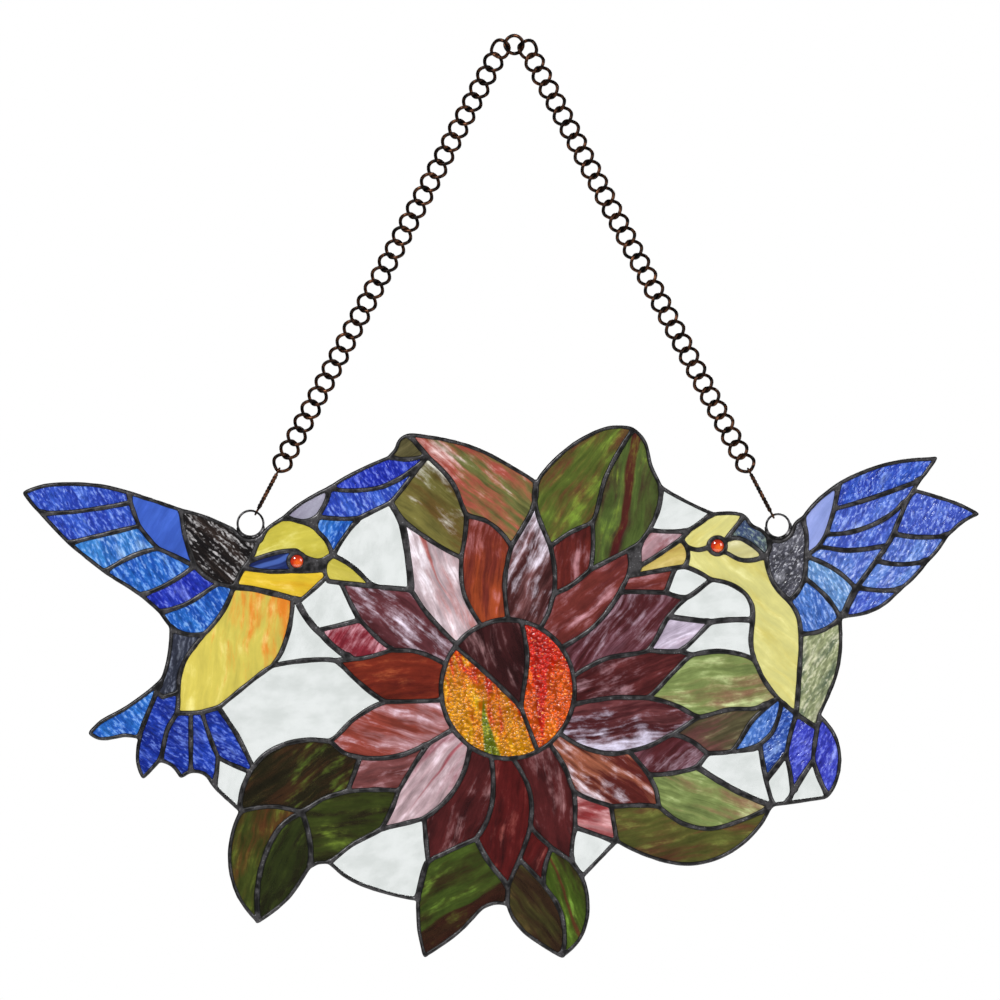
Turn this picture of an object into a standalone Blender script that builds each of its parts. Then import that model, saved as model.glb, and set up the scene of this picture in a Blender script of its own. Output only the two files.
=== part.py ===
"""Hanging stained glass panel: two birds at a large flower, cut glass soldered edge to edge, hung on a chain.

The drawing of the panel is kept as a glazier keeps it: lead lines on squared paper. Every line is a smooth curve
through a few points. The lines are joined where they meet, the fields that they enclose become panes, and the
width of the solder decides how much of each field is glass.

Metres, +Z up, front towards -Y. The origin is the point that the panel hangs from: the top of the hole in the
chain's top link.
"""
import itertools
import math

import bmesh
import bpy
import numpy as np
from mathutils import Matrix, Vector
from mathutils.geometry import delaunay_2d_cdt

# Sizes of the panel
PANEL_WIDTH = 0.635
GLASS_THICKNESS = 0.003
SOLDER_PROUD = 0.001
LEAD_WIDTH = 0.0029
RIM_SHARE = 0.45
FIT_GAP = 0.0003
CURVE_SAG = 0.0012
ROUND_SAG = 0.00015
JEWEL_DOME = 0.0026
SMALLEST_WINDOW = 0.000008
MERGE = 0.000001
STRAIGHT_TURN = 0.08
MITRE_LIMIT = 0.3
SQUARE_CUT = 0.5

# Sizes of what it hangs on
RING_BORES = {"left": 0.0156, "right": 0.014}
RING_WIRE = 0.0015
LINK_BORE = 0.010
LINK_WIRE = 0.002
TIE_WIRE = 0.0014
TIE_SHANK = 0.0026
TIE_EYE_BORE = 0.0034
SHORTEST_TIE = 0.028
SHOULDER_ANGLE = math.radians(72)
LINK_TWIST = math.radians(45)
LINK_FACETS = 6
LINK_EXTENT = 1.35

# The squared paper: its columns across the panel, and the square where the hanging point lies
PAPER_COLUMNS = 958
HANGING_SQUARE = Vector((514.0, 37.0))
SQUARE = PANEL_WIDTH / PAPER_COLUMNS
JOIN_SQUARES = 4.0

RING_SQUARES = {"left": Vector((250.5, 523.6)), "right": Vector((778.0, 525.8))}
EYE_SQUARES = {"left": Vector((297.0, 561.2)), "right": Vector((717.3, 545.8))}
EYE_SETTING_SQUARES = 8.45
FLOWER_CENTRE = Vector((507.8, 689.0))
FLOWER_SQUARES = (66.8, 69.5)
SEAT_SWEEP = {"left": (15, 160), "right": (-10, 172)}

# Lead lines, by what they draw. A number after the points is how many times the usual width the line is.
LEADS = {
    "left wing": [
        [(23, 492), (45, 484.5), (73, 483.3), (115, 487.3), (151, 500), (200, 515), (235, 529.5)],
        [(23, 492), (30, 501), (58, 533.5), (101.5, 570.4), (149, 602.7), (165, 619), (170, 627)],
        [(129, 491.5), (134, 514), (143, 532), (158, 548.5), (176.5, 557.7), (195, 566)],
        [(39, 512), (60, 512.7), (100, 507), (131, 502.5)],
        [(70, 541), (101.5, 535.2), (139, 526)],
        [(104, 571), (130, 559.4), (158, 548.5)],
        [(140, 596), (165, 585.4), (195, 566)],
        [(160, 612), (184, 605), (207, 590), (219, 583)],
        [(180, 509), (189, 539), (195, 566)],
        [(195, 566), (205, 576), (219.6, 584), (235, 587)],
        [(170, 627), (180, 631.5), (192, 635), (204, 634)],
    ],
    "left head": [
        [(266.5, 528), (276, 523), (290, 510), (314, 495), (343, 479.4), (362, 469.6), (388, 457)],
        [(268, 528), (257.7, 545), (250, 561)],
        [(283, 518), (292.3, 520.8), (304, 522), (314, 527.5), (323, 536), (330, 547), (333, 555)],
        [(304, 522), (311, 519.5), (318, 516)],
        [(250, 561), (268, 555.4), (285.4, 550.8), (293.5, 549.6), (306, 557.7), (321, 561), (333, 555)],
        [(250, 561), (243, 569), (236, 580), (234, 587)],
        [(244, 568), (260, 570.5), (300, 571), (324, 570)],
        [(297, 550), (297, 553)],
        [(297, 569), (297, 571)],
        [(333, 555), (325, 564), (325, 573), (328.5, 581)],
        [(326, 577), (315, 589), (302, 599)],
        [(234, 587), (248.5, 588), (273.8, 595.8), (302, 599), 1.3],
        [(333, 555), (355.4, 568.8), (371.5, 584), (384, 588), (411, 590.5)],
        [(328.5, 581), (352, 584), (379, 587.5)],
    ],
    "left body": [
        [(234, 587), (225.4, 607), (207, 630.4), (186, 658), (180, 675), (178.5, 693), (177, 713)],
        [(177, 713), (201, 712), (214, 709.5), (222, 705)],
        [(293, 598.5), (291.8, 616.7), (285.4, 641), (275, 663), (258.5, 677), (222, 705)],
        [(170, 627), (168, 645), (164, 662.6), (161.6, 678.5)],
        [(157, 692), (163, 697), (170, 693.5), (178.5, 692)],
    ],
    "left tail": [
        [(161.6, 678.5), (139.7, 696.7), (113, 715), (97, 723.5), (88.5, 733)],
        [(88.5, 733), (94, 738.5), (104, 740), (128.7, 736.3), (139, 738)],
        [(161.6, 678.5), (157.5, 690), (145.8, 717.4), (139, 738)],
        [(139, 738), (139, 748), (137, 765), (142.7, 779)],
        [(142.7, 779), (150, 773), (160, 761)],
        [(177, 713), (169, 726), (164, 748), (160, 761)],
        [(160, 761), (170, 765), (181, 778.3)],
        [(181, 778.3), (191, 772), (202, 773.5), (217.6, 791.7), (240, 811)],
        [(191, 713), (191, 772)],
        [(202, 712), (211.5, 742), (218, 757), (217, 770), (214, 788)],
        [(219, 708), (238, 737), (250.5, 762.5), (253, 767)],
        [(218, 757), (236, 766), (250, 772)],
    ],
    "left far wing": [
        [(331, 486), (327.7, 498.5), (318, 516), (316, 529)],
        [(330, 489), (357.7, 490.4), (381, 487), (399, 479), (427, 457)],
        [(388, 457), (399, 459.2), (415.4, 457.6), (427, 457)],
        [(318, 517), (340, 518.2), (359, 518)],
        [(333, 555), (344, 537.7), (357.7, 519.2), (369, 512.3), (391, 502)],
        [(391, 502), (404, 486), (427, 457)],
    ],
    "upper left leaf": [
        [(388, 457), (395, 449.2), (399, 439), (407.7, 434)],
        [(407.7, 434), (424, 452.7), (437.7, 465.4), (451.5, 481.5), (466.5, 515)],
        [(407.7, 434), (435.4, 437), (470, 445.2), (501, 459.6), (536.5, 481.5)],
        [(391, 502), (406, 523), (421, 531), (444, 547), (461.5, 558)],
        [(466.5, 515), (464.5, 540), (461.5, 558)],
        [(466.5, 515), (484, 519.6), (501, 536), (511.5, 546)],
        [(536.5, 481.5), (533.5, 506), (522, 528.8), (511.5, 546)],
    ],
    "flower, top": [
        [(391, 502), (400.4, 518), (405.2, 548), (408, 577), (411, 590.5), 1.5],
        [(411, 590.5), (420.4, 605), (443.5, 630.4), (454, 642)],
        [(461.5, 558), (461, 575), (465.4, 598), (480.5, 623.5)],
        [(511.5, 546), (505.3, 575), (508, 619)],
        [(536.5, 481.5), (536, 508), (546, 532), (553, 558), (554, 594), (541.5, 626)],
        [(551, 546), (571, 532), (593, 521.5)],
        [(593, 521.5), (590.4, 547), (590, 570)],
        [(554, 594), (566, 588.5), (577.7, 579), (590, 570)],
        [(629, 550.5), (629.5, 570), (620.4, 591), (609.6, 607), (592, 628), (561, 648)],
    ],
    "flower, right": [
        [(620, 592), (641, 591.5), (664, 592.5), (686, 598)],
        [(573, 676), (592, 664), (615.4, 655.8), (644, 651), (672, 649.8), (692, 654.5)],
        [(692, 654.5), (674, 672.7), (648, 697.5)],
        [(574, 704.5), (598, 699.6), (632.7, 696.7), (648, 697.5)],
        [(648, 697.5), (677.7, 706), (699, 717)],
        [(699, 717), (689, 724), (673, 734)],
        [(562, 735.5), (586.5, 748), (610, 753.5), (632.7, 750.5), (673, 734)],
        [(629, 751), (640, 764), (650, 777), (656, 790), (659, 806.5)],
        [(650, 773.5), (670, 770), (697, 767)],
        [(673, 734), (695, 743), (708, 753.5)],
        [(708, 753.5), (703, 761), (697, 767)],
        [(574, 791), (590, 799), (611, 806), (635, 807), (659, 806.5)],
        [(611, 806), (613, 825), (617, 842)],
        [(575, 827), (590, 834), (617, 842)],
    ],
    "flower, left": [
        [(341, 583), (349, 602), (359, 619), (370, 630), (393, 650)],
        [(393, 650), (414.6, 651), (426, 655.8), (445.5, 664)],
        [(318, 630), (342, 624.4), (360, 620)],
        [(296, 599), (309, 621), (331.5, 643), (353, 659), 1.4],
        [(353, 659), (367, 656.4), (393, 650)],
        [(336, 660.5), (358.5, 682), (385, 701.5)],
        [(385, 701.5), (412, 701.5), (440.5, 700)],
        [(385, 701.5), (361, 714), (330, 741)],
        [(330, 741), (345, 753), (370, 758), (397, 756), (426, 744.6), (453, 729)],
        [(360, 757.5), (352, 775), (348, 791)],
        [(348, 791), (367, 791.5), (399, 790)],
        [(429, 743), (415, 762), (399, 790), (390, 808), (381, 829)],
    ],
    "flower, below": [
        [(469, 747.5), (463, 774), (447, 799), (424, 818)],
        [(381, 829), (402, 823), (424, 818)],
        [(491, 757), (493, 790), (490, 812), (476, 838.5)],
        [(424, 818), (427, 840), (428, 861)],
        [(428, 861), (448, 850), (476, 838.5)],
        [(513, 758), (526, 780), (531.5, 805), (530, 830), (519.5, 859), (509, 883), (507, 905)],
        [(476, 838.5), (488, 860), (509, 887), 1.2],
        [(530.5, 826), (543, 840), (556, 851), (572, 862)],
        [(549.6, 744), (566, 770), (574, 791), (575, 827), (572, 862)],
        [(551, 847), (548, 863), (543, 884)],
    ],
    "flower heart": [
        [(455.5, 646.5), (478, 669.6), (501, 691.5), (521.5, 708.5)],
        [(521.5, 620), (527, 653.5), (523, 688), (521.5, 708.5), (527.7, 728.5), (537, 750)],
    ],
    "left background": [
        [(273, 666), (297, 664.5), (326.4, 661.5), (353, 659)],
        [(253, 767), (262, 757), (275, 748), (295, 742), (318, 739.5), (330, 741)],
        [(328, 863), (350, 880), (375, 890), (400, 896), (417, 900)],
        [(428, 861), (421, 880), (417, 900), 1.3],
    ],
    "lower left leaves": [
        [(253, 767), (245, 782), (240, 811)],
        [(240, 811), (257, 808), (280, 806.5), (302, 811)],
        [(302, 811), (320, 800), (348, 791)],
        [(240, 811), (231, 835), (229, 865), (236, 893), (258, 923)],
        [(302, 811), (285, 822), (266, 853), (257.5, 890), (258, 923), 1.2],
        [(302, 811), (307, 835), (311, 852), (310, 868), 1.2],
        [(258, 923), (280, 907), (298, 888), (310, 868)],
        [(310, 868), (318, 863.5), (328, 863)],
        [(381, 829), (350, 846), (328, 863)],
    ],
    "bottom leaves": [
        [(417, 900), (418, 930), (424, 957)],
        [(424, 957), (460, 932), (494, 904), (507, 905)],
        [(507, 905), (512, 918), (545, 948), (562, 957.5)],
        [(519.5, 859), (545, 886), (560, 910), (564.5, 935), (562, 957.5)],
        [(583, 877), (589, 905), (580, 940), (562, 957.5)],
        [(572, 862), (583, 877)],
        [(583, 877), (600, 861), (617, 842)],
    ],
    "lower right leaves": [
        [(617, 842), (640, 853), (665, 862), (690, 865), (720, 858), (750, 838), (773, 806)],
        [(659, 806.5), (680, 822), (705, 828.5), (735, 822), (773, 806)],
        [(697, 767), (718, 780), (745, 795), (773, 806), 1.3],
    ],
    "top leaf": [
        [(536.5, 481.5), (550, 463.8), (571, 444.8), (603, 428.7), (618, 425.5), (634, 428)],
        [(634, 428), (644.6, 439.6), (651.5, 465), (661, 485.5)],
        [(634, 428), (621.5, 451), (603, 483.5), (598.5, 505.4), (593, 521.5)],
        [(590, 570), (603, 561.3), (618, 555.3), (641, 542)],
        [(661, 485.5), (657.3, 512.3), (641, 542)],
        [(661, 485.5), (694, 501.2), (714, 513)],
    ],
    "right head": [
        [(641, 542), (639, 555), (640, 566)],
        [(640, 566), (655, 558), (665, 550), (681, 539)],
        [(629, 576), (647, 572.5), (685, 566.5)],
        [(640, 566), (631, 575.5), 2.4],
        [(649, 530), (666, 529.5), (689, 530)],
        [(714, 513), (697.7, 522.7), (681, 539)],
        [(714, 513), (732, 512), (745, 514.5), (752, 524.5), (761.5, 529)],
        [(745, 514.5), (738, 526), (725, 541)],
        [(681, 539), (687, 547), (692, 549), (710, 547)],
        [(687, 547), (688, 557), (685, 566.5)],
        [(724, 541), (738, 537.7), (747.3, 542.3), (766, 557)],
        [(724, 552), (732, 557.5), (751, 559.6), (766, 557)],
        [(767.5, 537.5), (769.5, 546), (766, 557)],
        [(794, 523), (801.5, 518), (813, 504), (839, 482.5)],
    ],
    "right body": [
        [(685, 566.5), (704.6, 577), (736, 587), (750, 600), (752.5, 620), (751.5, 650), (770, 689), (796, 714)],
        [(766, 557), (774, 584), (796, 611.5), (801, 636), (796.5, 681), (796, 714)],
        [(803, 517), (806, 532), (806, 555), (804.5, 578), (790, 600)],
        [(841, 618), (841, 637), (838.7, 668), (830, 692), (820, 715)],
        [(796, 714), (806, 722), (817, 728)],
        [(820, 715), (817, 728)],
    ],
    "right wing": [
        [(839, 482.5), (866, 470.6), (901, 459.8), (937.5, 457.5)],
        [(937.5, 457.5), (927, 472), (914.6, 489.5)],
        [(914.6, 489.5), (939, 497.5), (964.4, 505.6), (979.2, 513.7)],
        [(979.2, 513.7), (949.6, 534), (937.5, 550), (896, 594.4), (879.6, 608), (855.4, 613.3), (841, 618)],
        [(839, 482.5), (835, 505), (826, 534), (819, 546), (806, 556)],
        [(834, 509), (861, 501.5), (888, 491.4), (922, 477)],
        [(826, 534.5), (855, 531), (880, 521), (898.5, 508), (907, 498)],
        [(914.6, 489.5), (903, 507), (892, 536.5), (879.6, 555.4), (856, 588)],
        [(818, 547), (836.5, 550), (869, 548), (886, 545)],
        [(806, 556), (834, 569), (856, 588)],
        [(894, 534), (909, 536.5), (949, 534)],
        [(876, 561), (892, 563.5), (908, 564), (929, 559.5)],
        [(856, 588), (880, 587), (901, 587)],
        [(856, 588), (850, 602), (841, 618), 1.5],
        [(804.5, 578), (824, 594.4), (841, 618)],
        [(801, 634), (820, 631), (841, 618)],
    ],
    "right background": [
        [(675, 568.5), (671, 581.5), (665.5, 592.5)],
        [(712, 580), (700, 590), (686, 598), (675, 608), (655, 639), (648, 651)],
        [(669, 617), (686, 619), (709, 621.5), (752, 620), 1.2],
        [(712, 622), (700, 631), (680, 650.5)],
        [(692, 654.5), (718, 651), (752, 660)],
    ],
    "right leaf and tail": [
        [(699, 717), (730, 709.3), (758.5, 707.3), (779, 697)],
        [(708, 753.5), (731, 751.5), (760, 748)],
        [(776, 699), (757, 715), (744, 731), (731, 751.5)],
        [(782, 702), (776, 722), (768, 738), (757, 745.5), (731, 751.5)],
        [(760, 745), (763, 765), (767, 785), (773, 806)],
        [(796, 714), (791, 735), (786.5, 753)],
        [(786.5, 753), (777, 765), (766, 780), 1.3],
        [(786.5, 753), (788, 775), (792, 793)],
        [(792, 793), (786, 804)],
        [(817, 728), (815, 745), (813, 760)],
        [(813, 760), (803, 778), (792, 793), 1.2],
        [(813, 760), (820, 778), (828, 798)],
        [(820, 715), (833, 730), (840, 750), (838, 778), (828, 798)],
        [(773, 806), (786, 804), (806, 802.5), (828, 798)],
    ],
}

# Each plate of glass, or group of plates that lie side by side, with a square inside every pane of it. The plates
# of a group are one piece, which runs on beneath the solder of the seams between them.
PANES = {
    "left_wing_feathers": [(60, 498), (85, 525), (115, 548), (140, 577), (165, 598), (195, 620)],
    "left_wing_shoulder": [(160, 525)],
    "left_nape": [(215, 550)],
    "left_crown": [(285, 537)],
    "left_eye_stripe": [(275, 563)],
    "left_cheek": [(280, 580)],
    "left_beak": [(338, 570)],
    "left_belly": [(240, 645)],
    "left_back": [(174, 660)],
    "left_tail_feathers": [(120, 722), (155, 735), (177, 745), (203, 755), (225, 738)],
    "left_tail_clear": [(230, 780)],
    "left_far_wing_mauve": [(308, 508)],
    "left_far_wing_feathers": [(360, 480), (360, 503), (335, 528)],
    "upper_left_leaf_tip": [(403, 448)],
    "upper_left_leaf": [(430, 500), (480, 480)],
    "top_leaf": [(570, 490), (630, 500)],
    "petals_top": [(430, 580), (487, 560), (530, 570)],
    "petals_upper_right": [(572, 560), (590, 600)],
    "petals_right": [(648, 582), (640, 620), (630, 675), (680, 632)],
    "petals_lower_right": [(625, 725), (590, 770), (670, 752), (590, 815)],
    "petals_below": [(450, 810), (510, 800), (550, 800), (535, 860)],
    "petals_lower_left": [(430, 775), (385, 730), (375, 775)],
    "petals_left": [(405, 620), (400, 680), (350, 640)],
    "petal_pale_pink": [(655, 545)],
    "heart_maroon": [(495, 650)],
    "heart_red": [(550, 690)],
    "heart_yellow": [(480, 710)],
    "clear_above_left_beak": [(380, 545)],
    "clear_below_left_beak": [(325, 605), (300, 645)],
    "clear_left": [(300, 700)],
    "clear_lower_left": [(380, 860)],
    "clear_lower_right": [(592, 850)],
    "clear_above_right_beak": [(675, 510)],
    "clear_below_right_beak": [(690, 582), (720, 605), (725, 640)],
    "clear_right": [(735, 770), (780, 785), (812, 788)],
    "right_beak": [(670, 558)],
    "right_crown": [(715, 527)],
    "right_neck_patch": [(740, 549)],
    "right_belly": [(770, 640)],
    "right_back": [(785, 570), (755, 536)],
    "right_flank": [(818, 670)],
    "right_wing_shoulder": [(818, 525)],
    "right_wing_feathers": [
        (890, 477), (860, 515), (860, 540), (850, 565), (930, 515), (910, 550), (890, 576), (870, 600),
        (825, 575), (815, 610),
    ],
    "right_tail_feathers": [(760, 722), (780, 730), (802, 745), (828, 755)],
    "right_leaf": [(700, 685), (720, 735)],
    "lower_left_leaves": [(300, 770), (345, 820), (245, 865), (285, 865)],
    "bottom_left_leaf": [(460, 885)],
    "bottom_right_leaf": [(535, 905), (570, 890)],
    "lower_right_leaf": [(700, 795), (690, 845)],
    "left_eye": [(297, 561)],
    "right_eye": [(717, 546)],
}
JEWELS = ("left_eye", "right_eye")

# Colours of the plates: linear red, green, blue
BLUE = (0.03, 0.08, 0.5)
SMOOTH_BLUE = (0.09, 0.16, 0.6)
SLATE = (0.03, 0.03, 0.04)
YELLOW = (0.7, 0.6, 0.14)
ORANGE = (0.9, 0.5, 0.03)
CLEAR = (0.8, 0.83, 0.82)
MAUVE = (0.5, 0.47, 0.6)
OLIVE = (0.12, 0.13, 0.03)
DARK_LEAF = (0.05, 0.06, 0.015)
PETAL_RED = (0.13, 0.03, 0.025)
PALE_PINK = (0.7, 0.5, 0.52)
MOTTLED = (0.3, 0.38, 0.22)
JEWEL_RED = (0.7, 0.1, 0.01)
GLASS_COLOURS = {
    "left_wing_feathers": BLUE, "left_tail_feathers": BLUE, "left_far_wing_feathers": BLUE,
    "right_wing_feathers": BLUE, "right_tail_feathers": BLUE, "left_eye_stripe": BLUE,
    "left_wing_shoulder": SMOOTH_BLUE, "right_wing_shoulder": SMOOTH_BLUE,
    "left_nape": SLATE, "left_back": SLATE, "right_back": SLATE, "right_neck_patch": YELLOW,
    "left_crown": YELLOW, "left_beak": YELLOW, "left_belly": YELLOW, "left_cheek": ORANGE,
    "right_crown": YELLOW, "right_beak": YELLOW, "right_belly": YELLOW, "right_flank": MOTTLED,
    "left_far_wing_mauve": MAUVE, "petal_pale_pink": PALE_PINK,
    "upper_left_leaf": OLIVE, "upper_left_leaf_tip": OLIVE, "top_leaf": OLIVE, "right_leaf": OLIVE,
    "lower_right_leaf": OLIVE, "bottom_left_leaf": OLIVE, "bottom_right_leaf": OLIVE,
    "lower_left_leaves": DARK_LEAF, "heart_red": ORANGE, "heart_yellow": ORANGE,
    "left_eye": JEWEL_RED, "right_eye": JEWEL_RED,
}
PATINA = (0.02, 0.02, 0.024)

HALF_GLASS = GLASS_THICKNESS / 2
HALF_PANEL = HALF_GLASS + SOLDER_PROUD
SEAT_CLEARANCE = RING_WIRE + FIT_GAP + ROUND_SAG + RIM_SHARE * LEAD_WIDTH / 2
EYE_SETTING_RADIUS = EYE_SETTING_SQUARES * SQUARE
JEWEL_RADIUS = EYE_SETTING_RADIUS - LEAD_WIDTH / 2 - ROUND_SAG - FIT_GAP
LINK_MIDDLE_RADIUS = (LINK_BORE + LINK_WIRE) / 2
LINK_PITCH = LINK_BORE
TOP_PITCH = LINK_BORE - FIT_GAP - ROUND_SAG


# Plan geometry: points are rows of x to the right and y up, in metres


def on_plan(square):
    """A place on the squared paper, in metres from the hanging point."""
    return np.array(((square[0] - HANGING_SQUARE.x) * SQUARE, (HANGING_SQUARE.y - square[1]) * SQUARE))


def smooth_curve(points):
    """Points along a cubic through the given ones, whose slope at each is that of the parabola through it
    and its two neighbours, with time running as the distance between points."""
    points = np.asarray(points, float)
    if len(points) == 2:
        return points
    gaps = np.linalg.norm(np.diff(points, axis=0), axis=1)
    rates = np.diff(points, axis=0) / gaps[:, None]
    inner = (rates[:-1] * gaps[1:, None] + rates[1:] * gaps[:-1, None]) / (gaps[1:] + gaps[:-1])[:, None]
    slopes = np.vstack((2 * rates[0] - inner[0], inner, 2 * rates[-1] - inner[-1]))
    curve = [points[:1]]
    for i, gap in enumerate(gaps):
        t = np.arange(1, 13)[:, None] / 12
        curve.append(
            points[i] * (1 + 2 * t) * (1 - t) ** 2 + slopes[i] * gap * t * (1 - t) ** 2
            + points[i + 1] * t ** 2 * (3 - 2 * t) - slopes[i + 1] * gap * t ** 2 * (1 - t)
        )
    return np.vstack(curve)


def few_points(curve, sag):
    """The curve with only the points that keep it within sag of its own shape."""
    start, end = curve[0], curve[-1]
    chord = end - start
    length = np.linalg.norm(chord)
    if len(curve) < 3 or sag == 0:
        return curve
    if length == 0:
        off = np.linalg.norm(curve - start, axis=1)
    else:
        off = np.abs(chord[0] * (curve[:, 1] - start[1]) - chord[1] * (curve[:, 0] - start[0])) / length
    far = int(np.argmax(off))
    if off[far] <= sag:
        return np.array((start, end))
    return np.vstack((few_points(curve[:far + 1], sag)[:-1], few_points(curve[far:], sag)))


def arc(centre, radii, sag, start=0, end=360):
    """A stretch of an ellipse between two angles in degrees, counted clockwise from +x, with as many corners as
    keep it within sag of its own shape."""
    step = 2 * math.acos(1 - sag / max(radii))
    steps = math.ceil(math.radians(end - start) / step)
    angles = -np.radians(np.linspace(start, end, steps + 1))
    return centre + np.column_stack((radii[0] * np.cos(angles), radii[1] * np.sin(angles)))


def drawn_leads():
    """Every lead line as (points, half width): drawn fine, joined at its ends, then cut down to few points."""
    rounds = []
    for side, centre in RING_SQUARES.items():
        seat_radius = RING_BORES[side] / 2 + SEAT_CLEARANCE
        rounds.append(arc(on_plan(centre), (seat_radius, seat_radius), ROUND_SAG, *SEAT_SWEEP[side]))
    for centre in EYE_SQUARES.values():
        rounds.append(arc(on_plan(centre), (EYE_SETTING_RADIUS, EYE_SETTING_RADIUS), ROUND_SAG))
    rounds.append(arc(on_plan(FLOWER_CENTRE), [SQUARE * radius for radius in FLOWER_SQUARES], ROUND_SAG * 2))
    curves, halves = rounds[:], [LEAD_WIDTH / 2] * len(rounds)
    for line in itertools.chain(*LEADS.values()):
        width = line[-1] if isinstance(line[-1], float) else 1.0
        curves.append(smooth_curve([on_plan(square) for square in line if isinstance(square, tuple)]))
        halves.append(width * LEAD_WIDTH / 2)
    curves, joints = join_ends(curves)
    sags = [0] * len(rounds) + [CURVE_SAG] * (len(curves) - len(rounds))
    return [(cut_down(curve, joints, sag), half) for curve, sag, half in zip(curves, sags, halves)]


def cut_down(curve, joints, sag):
    """The curve with only its ends, its joints and the points that keep it within sag of its own shape."""
    fixed = [i for i, point in enumerate(curve) if np.linalg.norm(joints - point, axis=1).min() < MERGE]
    fixed = sorted({0, *fixed, len(curve) - 1})
    stretches = [few_points(curve[a:b + 1], sag) for a, b in zip(fixed, fixed[1:])]
    return np.vstack([stretches[0]] + [stretch[1:] for stretch in stretches[1:]])


def nearest_on(curve, point):
    """The distance from a point to a polyline, the stretch that it lies on and the place there."""
    start, step = curve[:-1], np.diff(curve, axis=0)
    share = np.clip(((point - start) * step).sum(axis=1) / (step ** 2).sum(axis=1), 0, 1)
    places = start + share[:, None] * step
    apart = np.linalg.norm(places - point, axis=1)
    best = int(np.argmin(apart))
    return apart[best], best, places[best]


def join_ends(curves):
    """Moves each end of a line to a corner or a line within reach. Returns the curves and the places of joints,
    each of which is a point of every curve that meets there."""
    reach = JOIN_SQUARES * SQUARE
    curves, joints = [curve.copy() for curve in curves], []
    for i, curve in enumerate(curves):
        if np.allclose(curve[0], curve[-1]):
            continue
        for end in (0, -1):
            point = curves[i][end]
            gaps = {
                j: min(np.linalg.norm(other[k] - point) for k in (0, -1))
                for j, other in enumerate(curves) if j != i
            }
            shared = [j for j, gap in gaps.items() if gap < reach / 2]
            others = [j for j in gaps if j not in shared]
            apart, stretch, place, j = min(((*nearest_on(curves[j], point), j) for j in others), key=lambda f: f[0])
            if apart < (reach / 2 if shared else reach):
                curves[i][end] = place
                joints.append(place)
                if np.linalg.norm(curves[j][stretch:stretch + 2] - place, axis=1).min() > MERGE:
                    curves[j] = np.insert(curves[j], stretch + 1, place, axis=0)
            elif shared:
                j = min(shared, key=gaps.get)
                curves[i][end] = min((curves[j][0], curves[j][-1]), key=lambda c: np.linalg.norm(c - point))
    return curves, np.array(joints)


def triangulated(loops, closed=True):
    """The plan's triangles with every stretch of the given polylines among their edges.

    Returns the corners, the triangles as rows of corner numbers, and for each drawn edge, as a pair of corner
    numbers in rising order, the numbers of the polylines that it lies on.
    """
    corners, edges, owner = [], [], []
    for number, loop in enumerate(loops):
        first, count = len(corners), len(loop)
        corners.extend(Vector(point) for point in loop)
        for i in range(count if closed else count - 1):
            edges.append((first + i, first + (i + 1) % count))
            owner.append(number)
    places, pairs, faces, _, sources, _ = delaunay_2d_cdt(corners, edges, [], 0, MERGE)
    drawn = {}
    for pair, from_edges in zip(pairs, sources):
        if from_edges:
            drawn[tuple(sorted(pair))] = {owner[e] for e in from_edges}
    return np.array([tuple(p) for p in places]), np.array(faces), drawn


def turned_left(places, faces):
    """The triangles, each with its corners counter-clockwise."""
    a, b, c = (places[faces[:, k]] for k in range(3))
    area = (b[:, 0] - a[:, 0]) * (c[:, 1] - a[:, 1]) - (b[:, 1] - a[:, 1]) * (c[:, 0] - a[:, 0])
    faces = faces[np.abs(area) > 0]
    area = area[np.abs(area) > 0]
    return np.where((area > 0)[:, None], faces, faces[:, ::-1])


def winding(points, loops):
    """How often the loops go round each point, counter-clockwise ones counted up."""
    total = np.zeros(len(points), int)
    for loop in loops:
        a, b = loop, np.roll(loop, -1, axis=0)
        x, y = points[:, None, 0], points[:, None, 1]
        side = (b[:, 0] - a[:, 0]) * (y - a[:, 1]) - (x - a[:, 0]) * (b[:, 1] - a[:, 1])
        up = (a[:, 1] <= y) & (b[:, 1] > y) & (side > 0)
        down = (a[:, 1] > y) & (b[:, 1] <= y) & (side < 0)
        total += up.sum(axis=1) - down.sum(axis=1)
    return total


def border_loops(faces):
    """The closed loops of corner numbers round a set of counter-clockwise triangles."""
    directed = {(face[k], face[(k + 1) % 3]) for face in faces for k in range(3)}
    after = {a: b for a, b in directed if (b, a) not in directed}
    loops = []
    while after:
        start, loop = next(iter(after)), []
        while start in after:
            loop.append(start)
            start = after.pop(start)
        loops.append(loop)
    return loops


def loop_area(loop):
    """The area inside a loop, negative when it runs clockwise."""
    after = np.roll(loop, -1, axis=0)
    return (loop[:, 0] * after[:, 1] - loop[:, 1] * after[:, 0]).sum() / 2


def without_straight_corners(loop):
    """The loop without corners that lie on the straight line between their neighbours."""
    before, after = np.roll(loop, 1, axis=0), np.roll(loop, -1, axis=0)
    base = after - before
    off = np.abs(base[:, 0] * (loop[:, 1] - before[:, 1]) - base[:, 1] * (loop[:, 0] - before[:, 0]))
    return loop[off > MERGE * np.linalg.norm(base, axis=1)]


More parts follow.
